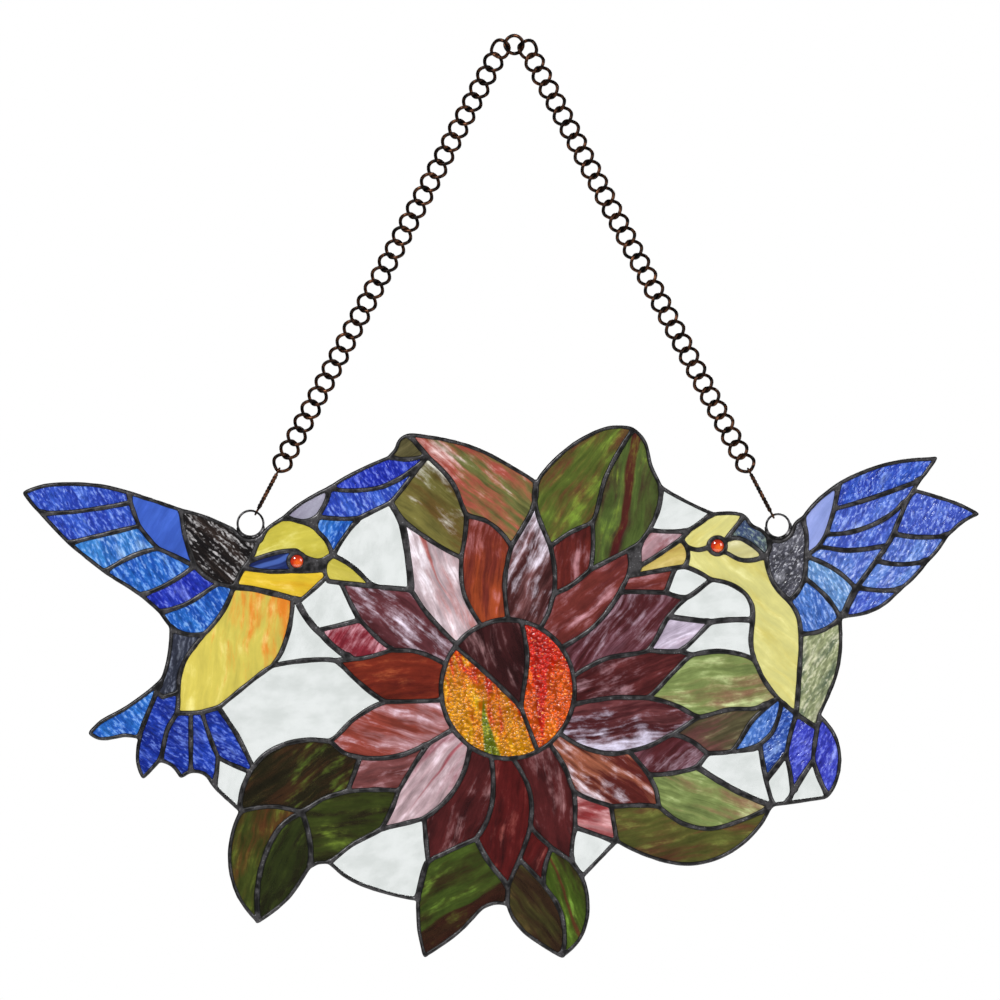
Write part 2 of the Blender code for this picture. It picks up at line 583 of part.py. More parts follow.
def shifted(loop, distances):
    """A loop whose every side is moved to its left by its own distance. Where the moved sides part, they are drawn
    on until they meet, or cut square if that is too far. Where they cross, the loop goes back to its old corner
    between them, which leaves only loops that untangled drops."""
    ahead = np.roll(loop, -1, axis=0) - loop
    ahead /= np.linalg.norm(ahead, axis=1)[:, None]
    left = np.column_stack((-ahead[:, 1], ahead[:, 0]))
    corners = []
    for i, corner in enumerate(loop):
        d0, d1 = distances[i - 1], distances[i]
        u0, u1, n0, n1 = ahead[i - 1], ahead[i], left[i - 1], left[i]
        turn = u0[0] * u1[1] - u0[1] * u1[0]
        along = u0 @ u1
        if abs(turn) < STRAIGHT_TURN and along > 0:
            corners.append(corner + (n0 * d0 + n1 * d1) / 2)
        elif turn * d0 > 0:
            corners += [corner + n0 * d0, corner, corner + n1 * d1]
        elif along < MITRE_LIMIT:
            corners.append(corner + n0 * d0 + u0 * abs(d0) * SQUARE_CUT)
            corners.append(corner + n1 * d1 - u1 * abs(d1) * SQUARE_CUT)
        else:
            step = n1 * d1 - n0 * d0
            corners.append(corner + n0 * d0 + u0 * (step[0] * u1[1] - step[1] * u1[0]) / turn)
    return np.array(corners)


def untangled(raw):
    """The simple loops round the plan that crossing loops go round counter-clockwise."""
    places, faces, _ = triangulated(raw)
    faces = turned_left(places, faces)
    inside = winding(places[faces].mean(axis=1), raw) > 0
    loops = [places[loop] for loop in border_loops(faces[inside])]
    loops = [without_straight_corners(loop) for loop in loops if abs(loop_area(loop)) > SMALLEST_WINDOW]
    return [loop for loop in loops if len(loop) > 2]


class Plan:
    """The drawing cut into fields: the parts of the plan that lead lines enclose."""

    def __init__(self, leads):
        self.halves = [half for _, half in leads]
        self.places, faces, self.drawn = triangulated([curve for curve, _ in leads], closed=False)
        self.faces = turned_left(self.places, faces)
        self.field = self._fields()

    def _fields(self):
        """The number of the field that each triangle lies in, found by walking across edges that aren't drawn."""
        beside = {}
        for number, face in enumerate(self.faces):
            for k in range(3):
                beside.setdefault(tuple(sorted((face[k], face[(k + 1) % 3]))), []).append(number)
        steps = [[] for _ in self.faces]
        for pair, numbers in beside.items():
            if len(numbers) == 2 and pair not in self.drawn:
                steps[numbers[0]].append(numbers[1])
                steps[numbers[1]].append(numbers[0])
        field = np.full(len(self.faces), -1)
        for first in range(len(self.faces)):
            if field[first] < 0:
                field[first] = first
                waiting = [first]
                while waiting:
                    for near in steps[waiting.pop()]:
                        if field[near] < 0:
                            field[near] = first
                            waiting.append(near)
        return field

    def field_at(self, point):
        """The field that a point lies in."""
        a, b, c = (self.places[self.faces[:, k]] for k in range(3))
        inside = np.ones(len(self.faces), bool)
        for start, end in ((a, b), (b, c), (c, a)):
            step, way = end - start, point - start
            inside &= step[:, 0] * way[:, 1] - step[:, 1] * way[:, 0] >= 0
        return int(self.field[np.argmax(inside)])

    def outside(self):
        """The fields that reach the edge of the sheet across an edge that isn't drawn."""
        directed = {(face[k], face[(k + 1) % 3]): n for n, face in enumerate(self.faces) for k in range(3)}
        return {
            self.field[number] for (a, b), number in directed.items()
            if (b, a) not in directed and tuple(sorted((a, b))) not in self.drawn
        }

    def inset(self, fields, extra=0.0, outwards=False):
        """The loops round some fields, moved in by half the width of their lead lines and extra. Outwards, they
        move by only a share of that, because the edge of the panel has no glass beyond its line."""
        chosen = self.faces[np.isin(self.field, list(fields))]
        raw = []
        for loop in border_loops(chosen):
            halves = []
            for a, b in zip(loop, loop[1:] + loop[:1]):
                lines = self.drawn[tuple(sorted((a, b)))]
                halves.append(max(self.halves[line] for line in lines) + extra)
            if outwards:
                halves = [-half * RIM_SHARE for half in halves]
            raw.append(shifted(self.places[loop], halves))
        return untangled(raw)


# Solids


def finished(name, mesh, colour, metallic=0.0, roughness=0.15, alpha=1.0, smooth=False):
    """An object of a bmesh, with its own material."""
    bmesh.ops.recalc_face_normals(mesh, faces=mesh.faces)
    data = bpy.data.meshes.new(name)
    mesh.to_mesh(data)
    mesh.free()
    material = bpy.data.materials.new(name)
    material.use_nodes = True
    shader = material.node_tree.nodes["Principled BSDF"]
    shader.inputs["Base Color"].default_value = (*colour, 1)
    shader.inputs["Metallic"].default_value = metallic
    shader.inputs["Roughness"].default_value = roughness
    shader.inputs["Alpha"].default_value = alpha
    data.materials.append(material)
    if smooth:
        data.shade_smooth()
    item = bpy.data.objects.new(name, data)
    bpy.context.collection.objects.link(item)
    return item


def at_depth(point, depth):
    """A place in space from a place on the plan: depth is how far it lies towards the back."""
    return (point[0], depth, point[1])


def plate(loops, half):
    """A flat plate with the given outline, and holes if a loop runs clockwise."""
    mesh = bmesh.new()
    places, faces, _ = triangulated(loops)
    faces = turned_left(places, faces)
    faces = faces[winding(places[faces].mean(axis=1), loops) > 0]
    layered(mesh, places, faces, np.full(len(faces), 2), half, half)
    return mesh


def layered(mesh, places, faces, states, middle, half):
    """Builds the solid over a triangulated plan. State 2 is solid right through, from -half to half, and state 1
    is solid only in front of -middle and behind middle, over the glass that runs on there."""
    beside = {}
    for number, face in enumerate(faces):
        for k in range(3):
            beside[(face[k], face[(k + 1) % 3])] = number
    levelled = set(faces[states == 1].ravel())
    corners = {}

    def corner(plan, depth):
        key = (plan, depth)
        if key not in corners:
            corners[key] = mesh.verts.new(at_depth(places[plan], depth))
        return corners[key]

    def wall(a, b, low, high):
        """A wall between two depths that faces the right of the way from a to b."""
        between = [depth for depth in (-middle, middle) if low < depth < high]
        up = [low, *(between if b in levelled else ()), high]
        down = [high, *(between[::-1] if a in levelled else ()), low]
        mesh.faces.new([corner(b, depth) for depth in up] + [corner(a, depth) for depth in down])

    for face, state in zip(faces, states):
        mesh.faces.new([corner(plan, -half) for plan in face])
        mesh.faces.new([corner(plan, half) for plan in face[::-1]])
        if state == 1:
            mesh.faces.new([corner(plan, -middle) for plan in face[::-1]])
            mesh.faces.new([corner(plan, middle) for plan in face])
    for (a, b), number in beside.items():
        other = beside.get((b, a))
        here, there = states[number], 0 if other is None else states[other]
        if there == 0 and here == 2:
            wall(a, b, -half, half)
        elif there == 0 and here == 1:
            wall(a, b, -half, -middle)
            wall(a, b, middle, half)
        elif there == 1 and here == 2:
            wall(a, b, -middle, middle)


def solder_lattice(rim, windows, beds):
    """The solder network: the whole panel less its windows, hollowed where a plate runs on beneath a seam."""
    loops = rim + windows + beds
    places, faces, _ = triangulated(loops)
    faces = turned_left(places, faces)
    middles = places[faces].mean(axis=1)
    within = winding(middles, rim) > 0
    open_through = winding(middles, windows) > 0
    over_glass = winding(middles, beds) > 0
    states = np.where(over_glass, 1, 2)[within & ~open_through]
    faces = faces[within & ~open_through]
    mesh = bmesh.new()
    layered(mesh, places, faces, states, HALF_GLASS + FIT_GAP, HALF_PANEL)
    return finished("solder_lattice", mesh, PATINA, metallic=0.9, roughness=0.4)


def jewel(name, centre):
    """A round glass jewel: a drum as thick as the plates with a low dome on its front."""
    mesh = bmesh.new()
    sides, rings = 10, ((1.0, HALF_GLASS), (1.0, -HALF_GLASS), (0.72, -HALF_GLASS - 0.75 * JEWEL_DOME))
    rows = []
    for share, depth in rings:
        turns = [2 * math.pi * k / sides for k in range(sides)]
        rows.append([
            mesh.verts.new(at_depth(centre + JEWEL_RADIUS * share * np.array((math.cos(t), math.sin(t))), depth))
            for t in turns
        ])
    top = mesh.verts.new(at_depth(centre, -HALF_GLASS - JEWEL_DOME))
    mesh.faces.new(rows[0])
    for lower, upper in zip(rows, rows[1:]):
        for k in range(sides):
            j = (k + 1) % sides
            mesh.faces.new((lower[k], lower[j], upper[j], upper[k]))
    for k in range(sides):
        mesh.faces.new((rows[-1][k], rows[-1][(k + 1) % sides], top))
    return finished(name, mesh, JEWEL_RED, roughness=0.05, smooth=True)


def wire_ring(mesh, middle, thickness, place, around, sides, twist=0.0):
    """Adds a closed loop of wire: a circle of radius middle whose plane turns by twist towards its far end and
    as much the other way towards its near end. place is the matrix from the ring's own frame, z along the chain.
    The section has its corner towards the ring's centre."""
    rows = []
    for k in range(around):
        u = math.pi / 2 + 2 * math.pi * (k + 0.5) / around
        turn = twist * math.sin(u)
        face = Matrix.Rotation(turn, 3, "Z")
        centre = face @ Vector((middle * math.cos(u), 0, middle * math.sin(u)))
        inward = face @ Vector((-math.cos(u), 0, -math.sin(u)))
        across = face @ Vector((0, 1, 0))
        row = []
        for s in range(sides):
            t = 2 * math.pi * s / sides
            point = centre + thickness / 2 * (inward * math.cos(t) + across * math.sin(t))
            row.append(mesh.verts.new(place @ point))
        rows.append(row)
    for k in range(around):
        here, there = rows[k], rows[(k + 1) % around]
        for s in range(sides):
            j = (s + 1) % sides
            mesh.faces.new((here[s], here[j], there[j], there[s]))


def set_frame(centre, along):
    """A matrix that puts a ring at centre, its z along the chain and its y towards the back."""
    z = Vector(along).normalized()
    y = Vector((0, 1, 0))
    x = y.cross(z)
    turn = Matrix((x, y, z)).transposed()
    return Matrix.Translation(centre) @ turn.to_4x4()


def joined(name, first, second, colour, metallic, roughness):
    """One solid of two sets of shapes that overlap where they bear on each other."""
    base = finished(name, first, colour, metallic, roughness, smooth=False)
    tool = finished(name + "_tool", second, colour, metallic, roughness)
    tool.hide_render = True
    tool.display_type = "WIRE"
    union = base.modifiers.new("join", "BOOLEAN")
    union.operation = "UNION"
    union.solver = "EXACT"
    union.object = tool
    return base


def hang_side(side):
    """One half of the hanging: the ring on the panel, the chain and the wire tie between them."""
    ring_radius = (RING_BORES[side] + RING_WIRE) / 2
    ring_centre = Vector(at_depth(on_plan(RING_SQUARES[side]), 0))
    sign = -1 if side == "left" else 1
    top_centre = Vector((0, 0, -LINK_BORE / 2))
    shoulder = top_centre + TOP_PITCH * Vector((sign * math.sin(SHOULDER_ANGLE), 0, -math.cos(SHOULDER_ANGLE)))
    # The run goes straight from the first link towards the ring's centre, so the tie pulls on the ring's top
    down = (ring_centre - shoulder).normalized()
    ring_top = ring_centre - down * ring_radius
    run = (ring_top - shoulder).length
    reach_of_eyes = LINK_MIDDLE_RADIUS
    count = int((run - reach_of_eyes - SHORTEST_TIE) / LINK_PITCH)
    centres = [shoulder + down * LINK_PITCH * k for k in range(count + 1)]

    meshes = (bmesh.new(), bmesh.new())
    # The first link hangs clear in the top one, so it is rounder than the rest and lies in line with it
    place = set_frame(shoulder, top_centre - shoulder)
    wire_ring(meshes[0], LINK_MIDDLE_RADIUS, LINK_WIRE, place, 10, 4, LINK_TWIST)
    radius = LINK_MIDDLE_RADIUS / math.cos(math.pi / LINK_FACETS)
    for k, centre in enumerate(centres[1:], start=1):
        place = set_frame(centre, -down)
        wire_ring(meshes[k % 2], radius, LINK_WIRE * LINK_EXTENT, place, LINK_FACETS, 3, LINK_TWIST)
    joined(f"chain_{side}", *meshes, PATINA, 0.8, 0.45)

    ring = bmesh.new()
    wire_ring(ring, ring_radius, RING_WIRE, set_frame(ring_centre, (0, 0, 1)), 16, 4)
    finished(f"ring_{side}", ring, PATINA, 0.9, 0.35, smooth=True)

    # The tie's lower eye goes round the ring and its upper eye round the last link, both bearing outwards
    eye_radius = (TIE_EYE_BORE + TIE_WIRE) / 2
    seat = eye_radius - TIE_WIRE / 2 - FIT_GAP
    low_eye = ring_top - down * (seat - RING_WIRE / 2)
    link_end = centres[-1] + down * LINK_MIDDLE_RADIUS
    high_eye = link_end + down * (seat - LINK_WIRE / 2)
    across = set_frame(low_eye, -down).to_3x3() @ Matrix.Rotation(math.pi / 2, 3, "Z")
    eyes, shank = bmesh.new(), bmesh.new()
    for centre in (low_eye, high_eye):
        wire_ring(eyes, eye_radius, TIE_WIRE, Matrix.Translation(centre) @ across.to_4x4(), 8, 3)
    start, end = low_eye - down * eye_radius, high_eye + down * eye_radius
    length = (end - start).length
    bmesh.ops.create_cone(
        shank, cap_ends=True, segments=5, radius1=TIE_SHANK / 2, radius2=TIE_SHANK / 2, depth=length,
        matrix=set_frame((start + end) / 2, -down))
    joined(f"tie_{side}", eyes, shank, PATINA, 0.8, 0.45)


def top_link():
    """The link at the top of the chain, lying across, with the origin at the top of its hole."""
    mesh = bmesh.new()
    place = set_frame(Vector((0, 0, -LINK_BORE / 2)), (1, 0, 0))
    wire_ring(mesh, LINK_MIDDLE_RADIUS, LINK_WIRE, place, 10, 4, LINK_TWIST / 2)
    finished("top_link", mesh, PATINA, 0.8, 0.45, smooth=True)


def stained_glass_panel():
    """Draws the plan, cuts the glass to it and hangs the panel."""
    plan = Plan(drawn_leads())
    outside = plan.outside()
    rim = plan.inset(set(plan.field) - outside, outwards=True)
    windows, beds = [], []
    for name, squares in PANES.items():
        fields = [plan.field_at(on_plan(square)) for square in squares]
        for field in fields:
            windows += plan.inset([field])
        if len(fields) > 1:
            beds += plan.inset(fields)
        if name in JEWELS:
            centre = on_plan(EYE_SQUARES[name.split("_")[0]])
            jewel(name, centre)
            continue
        alpha = 0.35 if "clear" in name else 1.0
        outline = plan.inset(fields, extra=FIT_GAP)
        finished(name, plate(outline, HALF_GLASS), GLASS_COLOURS.get(name, CLEAR), alpha=alpha)
    solder_lattice(rim, windows, beds)
    top_link()
    for side in RING_SQUARES:
        hang_side(side)


for old in list(bpy.data.objects):
    bpy.data.objects.remove(old)
stained_glass_panel()
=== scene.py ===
# %% [markdown]
# # A hanging stained glass panel
# Two hummingbirds drink from a large red flower. On the real panel every coloured piece is a flat pane of
# glass about 3 mm thick, edged with copper foil. Solder is melted along the foil on both faces, which joins
# the panes and leaves a rounded bead over each gap, and a dark patina turns the beads nearly black.
# This lesson starts from the plain solids of the panel and gives each of them the surface of the real thing.

# %% Load the plain solids
import math

import bpy
import mathutils
import numpy as np
from mathutils.geometry import delaunay_2d_cdt
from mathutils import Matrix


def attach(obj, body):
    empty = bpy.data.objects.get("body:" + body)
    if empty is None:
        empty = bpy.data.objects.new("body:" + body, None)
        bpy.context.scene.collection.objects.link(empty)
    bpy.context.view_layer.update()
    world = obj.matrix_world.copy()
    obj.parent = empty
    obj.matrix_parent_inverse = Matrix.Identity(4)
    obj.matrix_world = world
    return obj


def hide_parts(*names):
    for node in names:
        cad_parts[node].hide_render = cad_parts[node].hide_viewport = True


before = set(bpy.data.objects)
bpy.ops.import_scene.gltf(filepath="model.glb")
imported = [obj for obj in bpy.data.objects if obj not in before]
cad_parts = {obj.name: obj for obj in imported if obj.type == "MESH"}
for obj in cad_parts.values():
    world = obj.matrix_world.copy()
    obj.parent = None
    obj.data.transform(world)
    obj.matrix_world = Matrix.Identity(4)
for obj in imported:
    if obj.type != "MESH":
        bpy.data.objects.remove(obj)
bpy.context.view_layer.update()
print("plain solids:", len(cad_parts))

# %% [markdown]
# ## Places on the pattern
# A glazier works from a full-size paper pattern. The pattern here is squared, with the hanging point at
# column 514 and row 37, and 958 columns make the width of the panel. All places on it become metres, with
# x to the right and z up, so that a pane can be named by any square that lies inside it.

# %% The pattern's squares in metres
PANEL_WIDTH = 0.635
PATTERN_COLUMNS = 958
HANGING_SQUARE = np.array((514.0, 37.0))
SQUARE = PANEL_WIDTH / PATTERN_COLUMNS


def on_pattern(square):
    """Place in metres: the square's distance from the hanging square times the size of one square."""
    return (np.asarray(square, float) - HANGING_SQUARE) * (SQUARE, -SQUARE)


print("one square:", round(SQUARE * 1000, 4), "mm")

# %% [markdown]
# ## The outlines of the solder network
# The plain solder solid already holds every outline that is needed: its outer edge is the edge of the panel,
# and each of its holes is the part of a pane that shows. They could be drawn again by hand, but then glass
# and solder would drift apart. So they are read off the solid's front face: an edge that only one front
# triangle uses is a border, and the borders are followed round into closed outlines, with metal on the left.

# %% Read the outlines off the front face
MERGE = 1e-6
SAME_DEPTH = 1e-5


def corners_and_triangles(node):
    """Corner places and triangles of a solid, where corners in the same place are counted once."""
    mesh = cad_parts[node].data
    places = np.empty(len(mesh.vertices) * 3, np.float32)
    mesh.vertices.foreach_get("co", places)
    corners = np.empty(len(mesh.loops), np.int32)
    mesh.loops.foreach_get("vertex_index", corners)
    keys = np.round(places.reshape(-1, 3).astype(float) / MERGE).astype(np.int64)
    found, index = np.unique(keys, axis=0, return_inverse=True)
    return found * MERGE, index.reshape(-1)[corners].reshape(-1, 3)


def front_outlines(node):
    """Closed outlines of the front face: the edges that no second front triangle shares, end to end."""
    places, triangles = corners_and_triangles(node)
    front = (places[triangles][:, :, 1] < places[:, 1].min() + SAME_DEPTH).all(axis=1)
    edges = np.concatenate([triangles[front][:, pair] for pair in ((0, 1), (1, 2), (2, 0))])
    size = len(places)
    lone = ~np.isin(edges[:, 0] * size + edges[:, 1], edges[:, 1] * size + edges[:, 0])
    following = dict(edges[lone].tolist())
    outlines = []
    while following:
        start, corner = following.popitem()
        outline = [start]
        while corner != start:
            outline.append(corner)
            corner = following.pop(corner)
        outlines.append(places[outline][:, (0, 2)])
    return outlines


def cross(a, b):
    """The cross product of flat vectors, row by row: above zero where b points to the left of a."""
    return a[:, 0] * b[:, 1] - a[:, 1] * b[:, 0]


def area_of(outline):
    """Area of a closed outline, above zero where it runs counterclockwise: half the sum of the cross
    products of each corner with the next."""
    return float(cross(outline, np.roll(outline, -1, axis=0)).sum() / 2)


plain_outlines = front_outlines("solder_lattice")
plain_outlines.sort(key=area_of, reverse=True)
print("outlines:", len(plain_outlines), "corners:", sum(len(outline) for outline in plain_outlines))

# %% [markdown]
# ## Flowing lines
# Glass is scored by hand in long curves, and solder rounds off every inner corner. The plain outlines are
# straight between their corners. Each is replaced by a cubic through the same corners, which bends evenly
# through the gentle ones and keeps a real point where two cuts meet. Then the points are spread evenly and
# averaged once with their neighbours, which is about what molten solder does to a sharp inner corner.

# %% Curves through the corners
SHARP_TURN = math.radians(52)
SHORT_EDGE = 0.0045
STEP = 0.00135
LONGEST_PULL = 1.6


def signed_turn(rate_before, rate):
    """The angle from one direction to the next, above zero to the left."""
    return np.arctan2(cross(rate_before, rate), (rate * rate_before).sum(axis=1))


def straight_and_curved(outline):
    """Points along the outline as it is, and where a closed curve through its corners puts them. Between two
    corners the curve is the cubic that leaves and arrives along the mean of its neighbours' directions, and
    along its own chord's mirror image at a sharp corner. Two corners with a short edge between them count as
    one sharp corner where they turn far enough together. Neither end is pulled much further than the length
    of the edge next to it, or a short edge beside a long one would make a loop."""
    chord = np.roll(outline, -1, axis=0) - outline
    gap = np.linalg.norm(chord, axis=1)
    rate = chord / gap[:, None]
    rate_before, gap_before = np.roll(rate, 1, axis=0), np.roll(gap, 1)
    slope = (rate_before * gap[:, None] + rate * gap_before[:, None]) / (gap + gap_before)[:, None]
    turn = signed_turn(rate_before, rate)
    with_next = (gap < SHORT_EDGE) & (np.abs(turn + np.roll(turn, -1)) > SHARP_TURN)
    sharp = (np.abs(turn) > SHARP_TURN) | with_next | np.roll(with_next, 1)
    sharp_end, slope_end = np.roll(sharp, -1), np.roll(slope, -1, axis=0)
    leave = np.where(sharp[:, None], np.where(sharp_end[:, None], rate, 2 * rate - slope_end), slope)
    arrive = np.where(sharp_end[:, None], np.where(sharp[:, None], rate, 2 * rate - slope), slope_end)
    leave = leave * np.minimum(gap, LONGEST_PULL * gap_before)[:, None]
    arrive = arrive * np.minimum(gap, LONGEST_PULL * np.roll(gap, -1))[:, None]
    count = np.maximum(np.ceil(gap / STEP).astype(int), 1)
    part = np.repeat(np.arange(len(outline)), count)
    t = ((np.arange(len(part)) - (np.cumsum(count) - count)[part]) / count[part])[:, None]
    curved = (
        outline[part] * (1 + 2 * t) * (1 - t) ** 2 + leave[part] * t * (1 - t) ** 2
        + np.roll(outline, -1, axis=0)[part] * t ** 2 * (3 - 2 * t) - arrive[part] * t ** 2 * (1 - t)
    )
    return outline[part] + chord[part] * t, curved


print("corners stay sharp from a turn of", round(math.degrees(SHARP_TURN)), "degrees")

# %% Both sides of a seam together
SEAM_REACH = 0.0045
BATCHES = 24
SETTLING_ROUNDS = 3


def across_the_seam(points, owner):
    """For each point the nearest point of another outline, or the point itself where none is in reach. The
    points are taken in batches, because a table of all distances at once would fill the memory."""
    partner = np.arange(len(points))
    for part in np.array_split(partner.copy(), BATCHES):
        square = ((points[part][:, None] - points[None]) ** 2).sum(axis=2)
        square[owner[part][:, None] == owner[None]] = np.inf
        near = square.min(axis=1) < SEAM_REACH ** 2
        partner[part[near]] = square.argmin(axis=1)[near]
    return partner


def softened(outline):
    """Each point averaged with its two neighbours: half its own place and a quarter of each of theirs."""
    return outline / 2 + (np.roll(outline, 1, axis=0) + np.roll(outline, -1, axis=0)) / 4


def flowing(plain):
    """Every outline as a flowing curve. The two sides of a seam bend together: each point's shift from the
    straight outline is averaged with that of the point across the seam, so the seam keeps its width."""
    pairs = [straight_and_curved(outline) for outline in plain]
    lengths = [len(straight) for straight, _ in pairs]
    straight = np.concatenate([straight for straight, _ in pairs])
    shift = np.concatenate([curved for _, curved in pairs]) - straight
    partner = across_the_seam(straight, np.repeat(np.arange(len(plain)), lengths))
    for _ in range(SETTLING_ROUNDS):
        shift = (shift + shift[partner]) / 2
    return [softened(curve) for curve in np.split(straight + shift, np.cumsum(lengths)[:-1])]


outlines = flowing(plain_outlines)
rim, windows = outlines[0], outlines[1:]
print("rim points:", len(rim), "windows:", len(windows), "points:", sum(len(outline) for outline in outlines))

# %% [markdown]
# ## Unevenness
# No seam made by hand is even: the solder runs a little over the glass, here more and there less, and draws
# itself round at every outward point of the rim. A smooth random field is needed for it, and for the lumps. A
# table of random numbers is read at the four squares round each point and blended with a soft step.

# %% A smooth random field
TABLE_SIZE = 256
RANDOM_TABLE = np.random.default_rng(11).uniform(-1, 1, (TABLE_SIZE, TABLE_SIZE))
LAYER_SHIFT = np.array((37.3, 91.7))


def uneven(points, grain, layer=0):
    """Numbers from -1 to 1 that wander over a distance of about grain: the table at the four corners of a
    square of that size, each weighted by the soft step 3t^2 - 2t^3 of the place inside the square. Each
    layer reads another part of the table."""
    spot = points / grain + layer * LAYER_SHIFT
    cell = np.floor(spot).astype(int)
    soft = (spot - cell) ** 2 * (3 - 2 * (spot - cell))
    x, y = cell[:, 0] % TABLE_SIZE, cell[:, 1] % TABLE_SIZE
    right, above = (x + 1) % TABLE_SIZE, (y + 1) % TABLE_SIZE
    low = RANDOM_TABLE[x, y] * (1 - soft[:, 0]) + RANDOM_TABLE[right, y] * soft[:, 0]
    high = RANDOM_TABLE[x, above] * (1 - soft[:, 0]) + RANDOM_TABLE[right, above] * soft[:, 0]
    return low * (1 - soft[:, 1]) + high * soft[:, 1]


print("table of random numbers:", RANDOM_TABLE.shape)

# %% [markdown]
# ## Moving a line sideways
# Both the wander and the rounding move a line to one side, and so does the glass, which reaches under the
# solder. On a smooth line every point simply moves along the direction square to it. At a sharp corner that
# pushes points through the other side, so points that come out too near the old line are dropped, and small
# loops are cut away. A line that crosses itself would leave holes in the finished piece.

# %% Into the metal
ROUNDINGS = 10
NO_LENGTH = 1e-9


def metalward(outline):
    """Unit directions into the metal: square to the line between the points before and after, on its left."""
    ahead = np.roll(outline, -1, axis=0) - np.roll(outline, 1, axis=0)
    ahead = ahead / np.maximum(np.linalg.norm(ahead, axis=1), NO_LENGTH)[:, None]
    return np.column_stack((-ahead[:, 1], ahead[:, 0]))


def rounded_tips(outline):
    """The outline with its outward points rounded off: each point is averaged with its neighbours some
    times over, and the result counts only where it lies further into the metal."""
    soft = outline
    for _ in range(ROUNDINGS):
        soft = softened(soft)
    inward = ((soft - outline) * metalward(outline)).sum(axis=1) > 0
    return np.where(inward[:, None], soft, outline)


rim = rounded_tips(rim)
print("rim rounded:", len(rim), "points")

# %% Lines that don't cross themselves
LONGEST_LOOP = 6
FAR_ENOUGH = 0.94
SLACK = 0.00001
ON_TOP = 0.00015
ALONG_AN_EDGE = (0, 0.25, 0.5, 0.75)


def turns_left(a, b, c):
    """Twice the area of the triangles a, b, c: above zero where c lies to the left of the way from a to b."""
    return cross(b - a, c - a)


def edges_cross(a, b, c, d):
    """Whether the edges a b and c d cross: the ends of each lie on different sides of the other."""
    parted = turns_left(a, b, c) * turns_left(a, b, d) < 0
    return parted & (turns_left(c, d, a) * turns_left(c, d, b) < 0)


def without_loops(outline):
    """The outline without its small loops: where an edge crosses one a few places on, the points between the
    two go."""
    for places_on in range(2, LONGEST_LOOP + 1):
        a, b = outline, np.roll(outline, -1, axis=0)
        c, d = np.roll(outline, -places_on, axis=0), np.roll(outline, -places_on - 1, axis=0)
        between = np.flatnonzero(edges_cross(a, b, c, d))[:, None] + np.arange(1, places_on + 1)
        outline = np.delete(outline, np.unique(between % len(outline)), axis=0)
    return outline


def moved_edge(outline, distance):
    """The outline moved towards the metal by a distance, one for each point, or away from it where that is
    below zero. Near a sharp corner a point may come out beyond the other side. It lies nearer to some part of
    the old line than that part was moved, and is left out, and so is a point on top of the one before."""
    moved = outline + metalward(outline) * distance[:, None]
    line = np.column_stack((outline, np.abs(distance)))
    step = np.roll(line, -1, axis=0) - line
    old = np.concatenate([line + step * share for share in ALONG_AN_EDGE])
    away = np.sqrt(((moved[:, None] - old[None, :, :2]) ** 2).sum(axis=2))
    kept = moved[(away > old[:, 2] * FAR_ENOUGH - SLACK).all(axis=1)]
    gap = np.linalg.norm(kept - np.roll(kept, 1, axis=0), axis=1)
    return without_loops(kept[gap > ON_TOP])


print("loops of up to", LONGEST_LOOP, "points are cut away")

# %% Move the edges of the solder
WANDER = 0.00022
WANDER_GRAIN = 0.007
SPREAD = 0.0002
RIM_SPREAD = 0.0006


def window_edge(outline):
    """A window's edge, moved to and fro by the wander and over the glass by the solder's spread, which is
    larger along the rim, where one bead holds the edge alone."""
    square = ((outline[:, None] - rim[None]) ** 2).sum(axis=2).min(axis=1)
    share = softened((square < SEAM_REACH ** 2).astype(float))
    spread = SPREAD + (RIM_SPREAD - SPREAD) * share
    return moved_edge(outline, uneven(outline, WANDER_GRAIN) * WANDER - spread)


rim = moved_edge(rim, np.abs(uneven(rim, WANDER_GRAIN) * WANDER))
windows = [window_edge(window) for window in windows]
outlines = [rim] + windows
print("seam edges wander by", WANDER * 1000, "mm and spread by", SPREAD * 1000, "mm")

# %% [markdown]
# ## The solder beads
# A bead is as high as its distance to the nearest glass edge allows: steep at the edge, level over the
# middle, like a quarter of an ellipse. So the surface is a function of that distance. Rows of points are laid
# at a few distances inside the metal, points closer to another edge are dropped, and a triangulation joins
# them without crossing the outlines. A grid would need millions of faces for lines this thin.

# %% Points along the edges of the metal
EDGE_SPACING = 0.0004


def along_edges(outline):
    """Points spread along the outline, straight between its points, at most the spacing apart, each with the
    direction into the metal. At a corner that is the mean of its two edges' directions, because a place
    beyond a tip can lie on the metal's side of one of them."""
    chord = np.roll(outline, -1, axis=0) - outline
    inward = np.column_stack((-chord[:, 1], chord[:, 0])) / np.linalg.norm(chord, axis=1)[:, None]
    count = np.ceil(np.linalg.norm(chord, axis=1) / EDGE_SPACING).astype(int)
    part = np.repeat(np.arange(len(outline)), count)
    t = (np.arange(len(part)) - (np.cumsum(count) - count)[part]) / count[part]
    at_corner = inward + np.roll(inward, 1, axis=0)
    return np.column_stack((outline[part] + chord[part] * t[:, None],
                            np.where(t[:, None] == 0, at_corner[part], inward[part])))


EDGE_POINTS = np.concatenate([along_edges(outline) for outline in outlines])
EDGE_POINTS = EDGE_POINTS[np.argsort(EDGE_POINTS[:, 0])]
print("edge points:", len(EDGE_POINTS))

# %% Distance from the edges of the metal
TILE = 0.008
REACH = 0.005
ON_THE_LINE = -1e-12


def edge_points_near(low):
    """The edge points within reach of the tile whose lower left corner is at low."""
    first, last = np.searchsorted(EDGE_POINTS[:, 0], (low[0] - REACH, low[0] + TILE + REACH))
    near = EDGE_POINTS[first:last]
    return near[np.abs(near[:, 1] - low[1] - TILE / 2) < TILE / 2 + REACH]


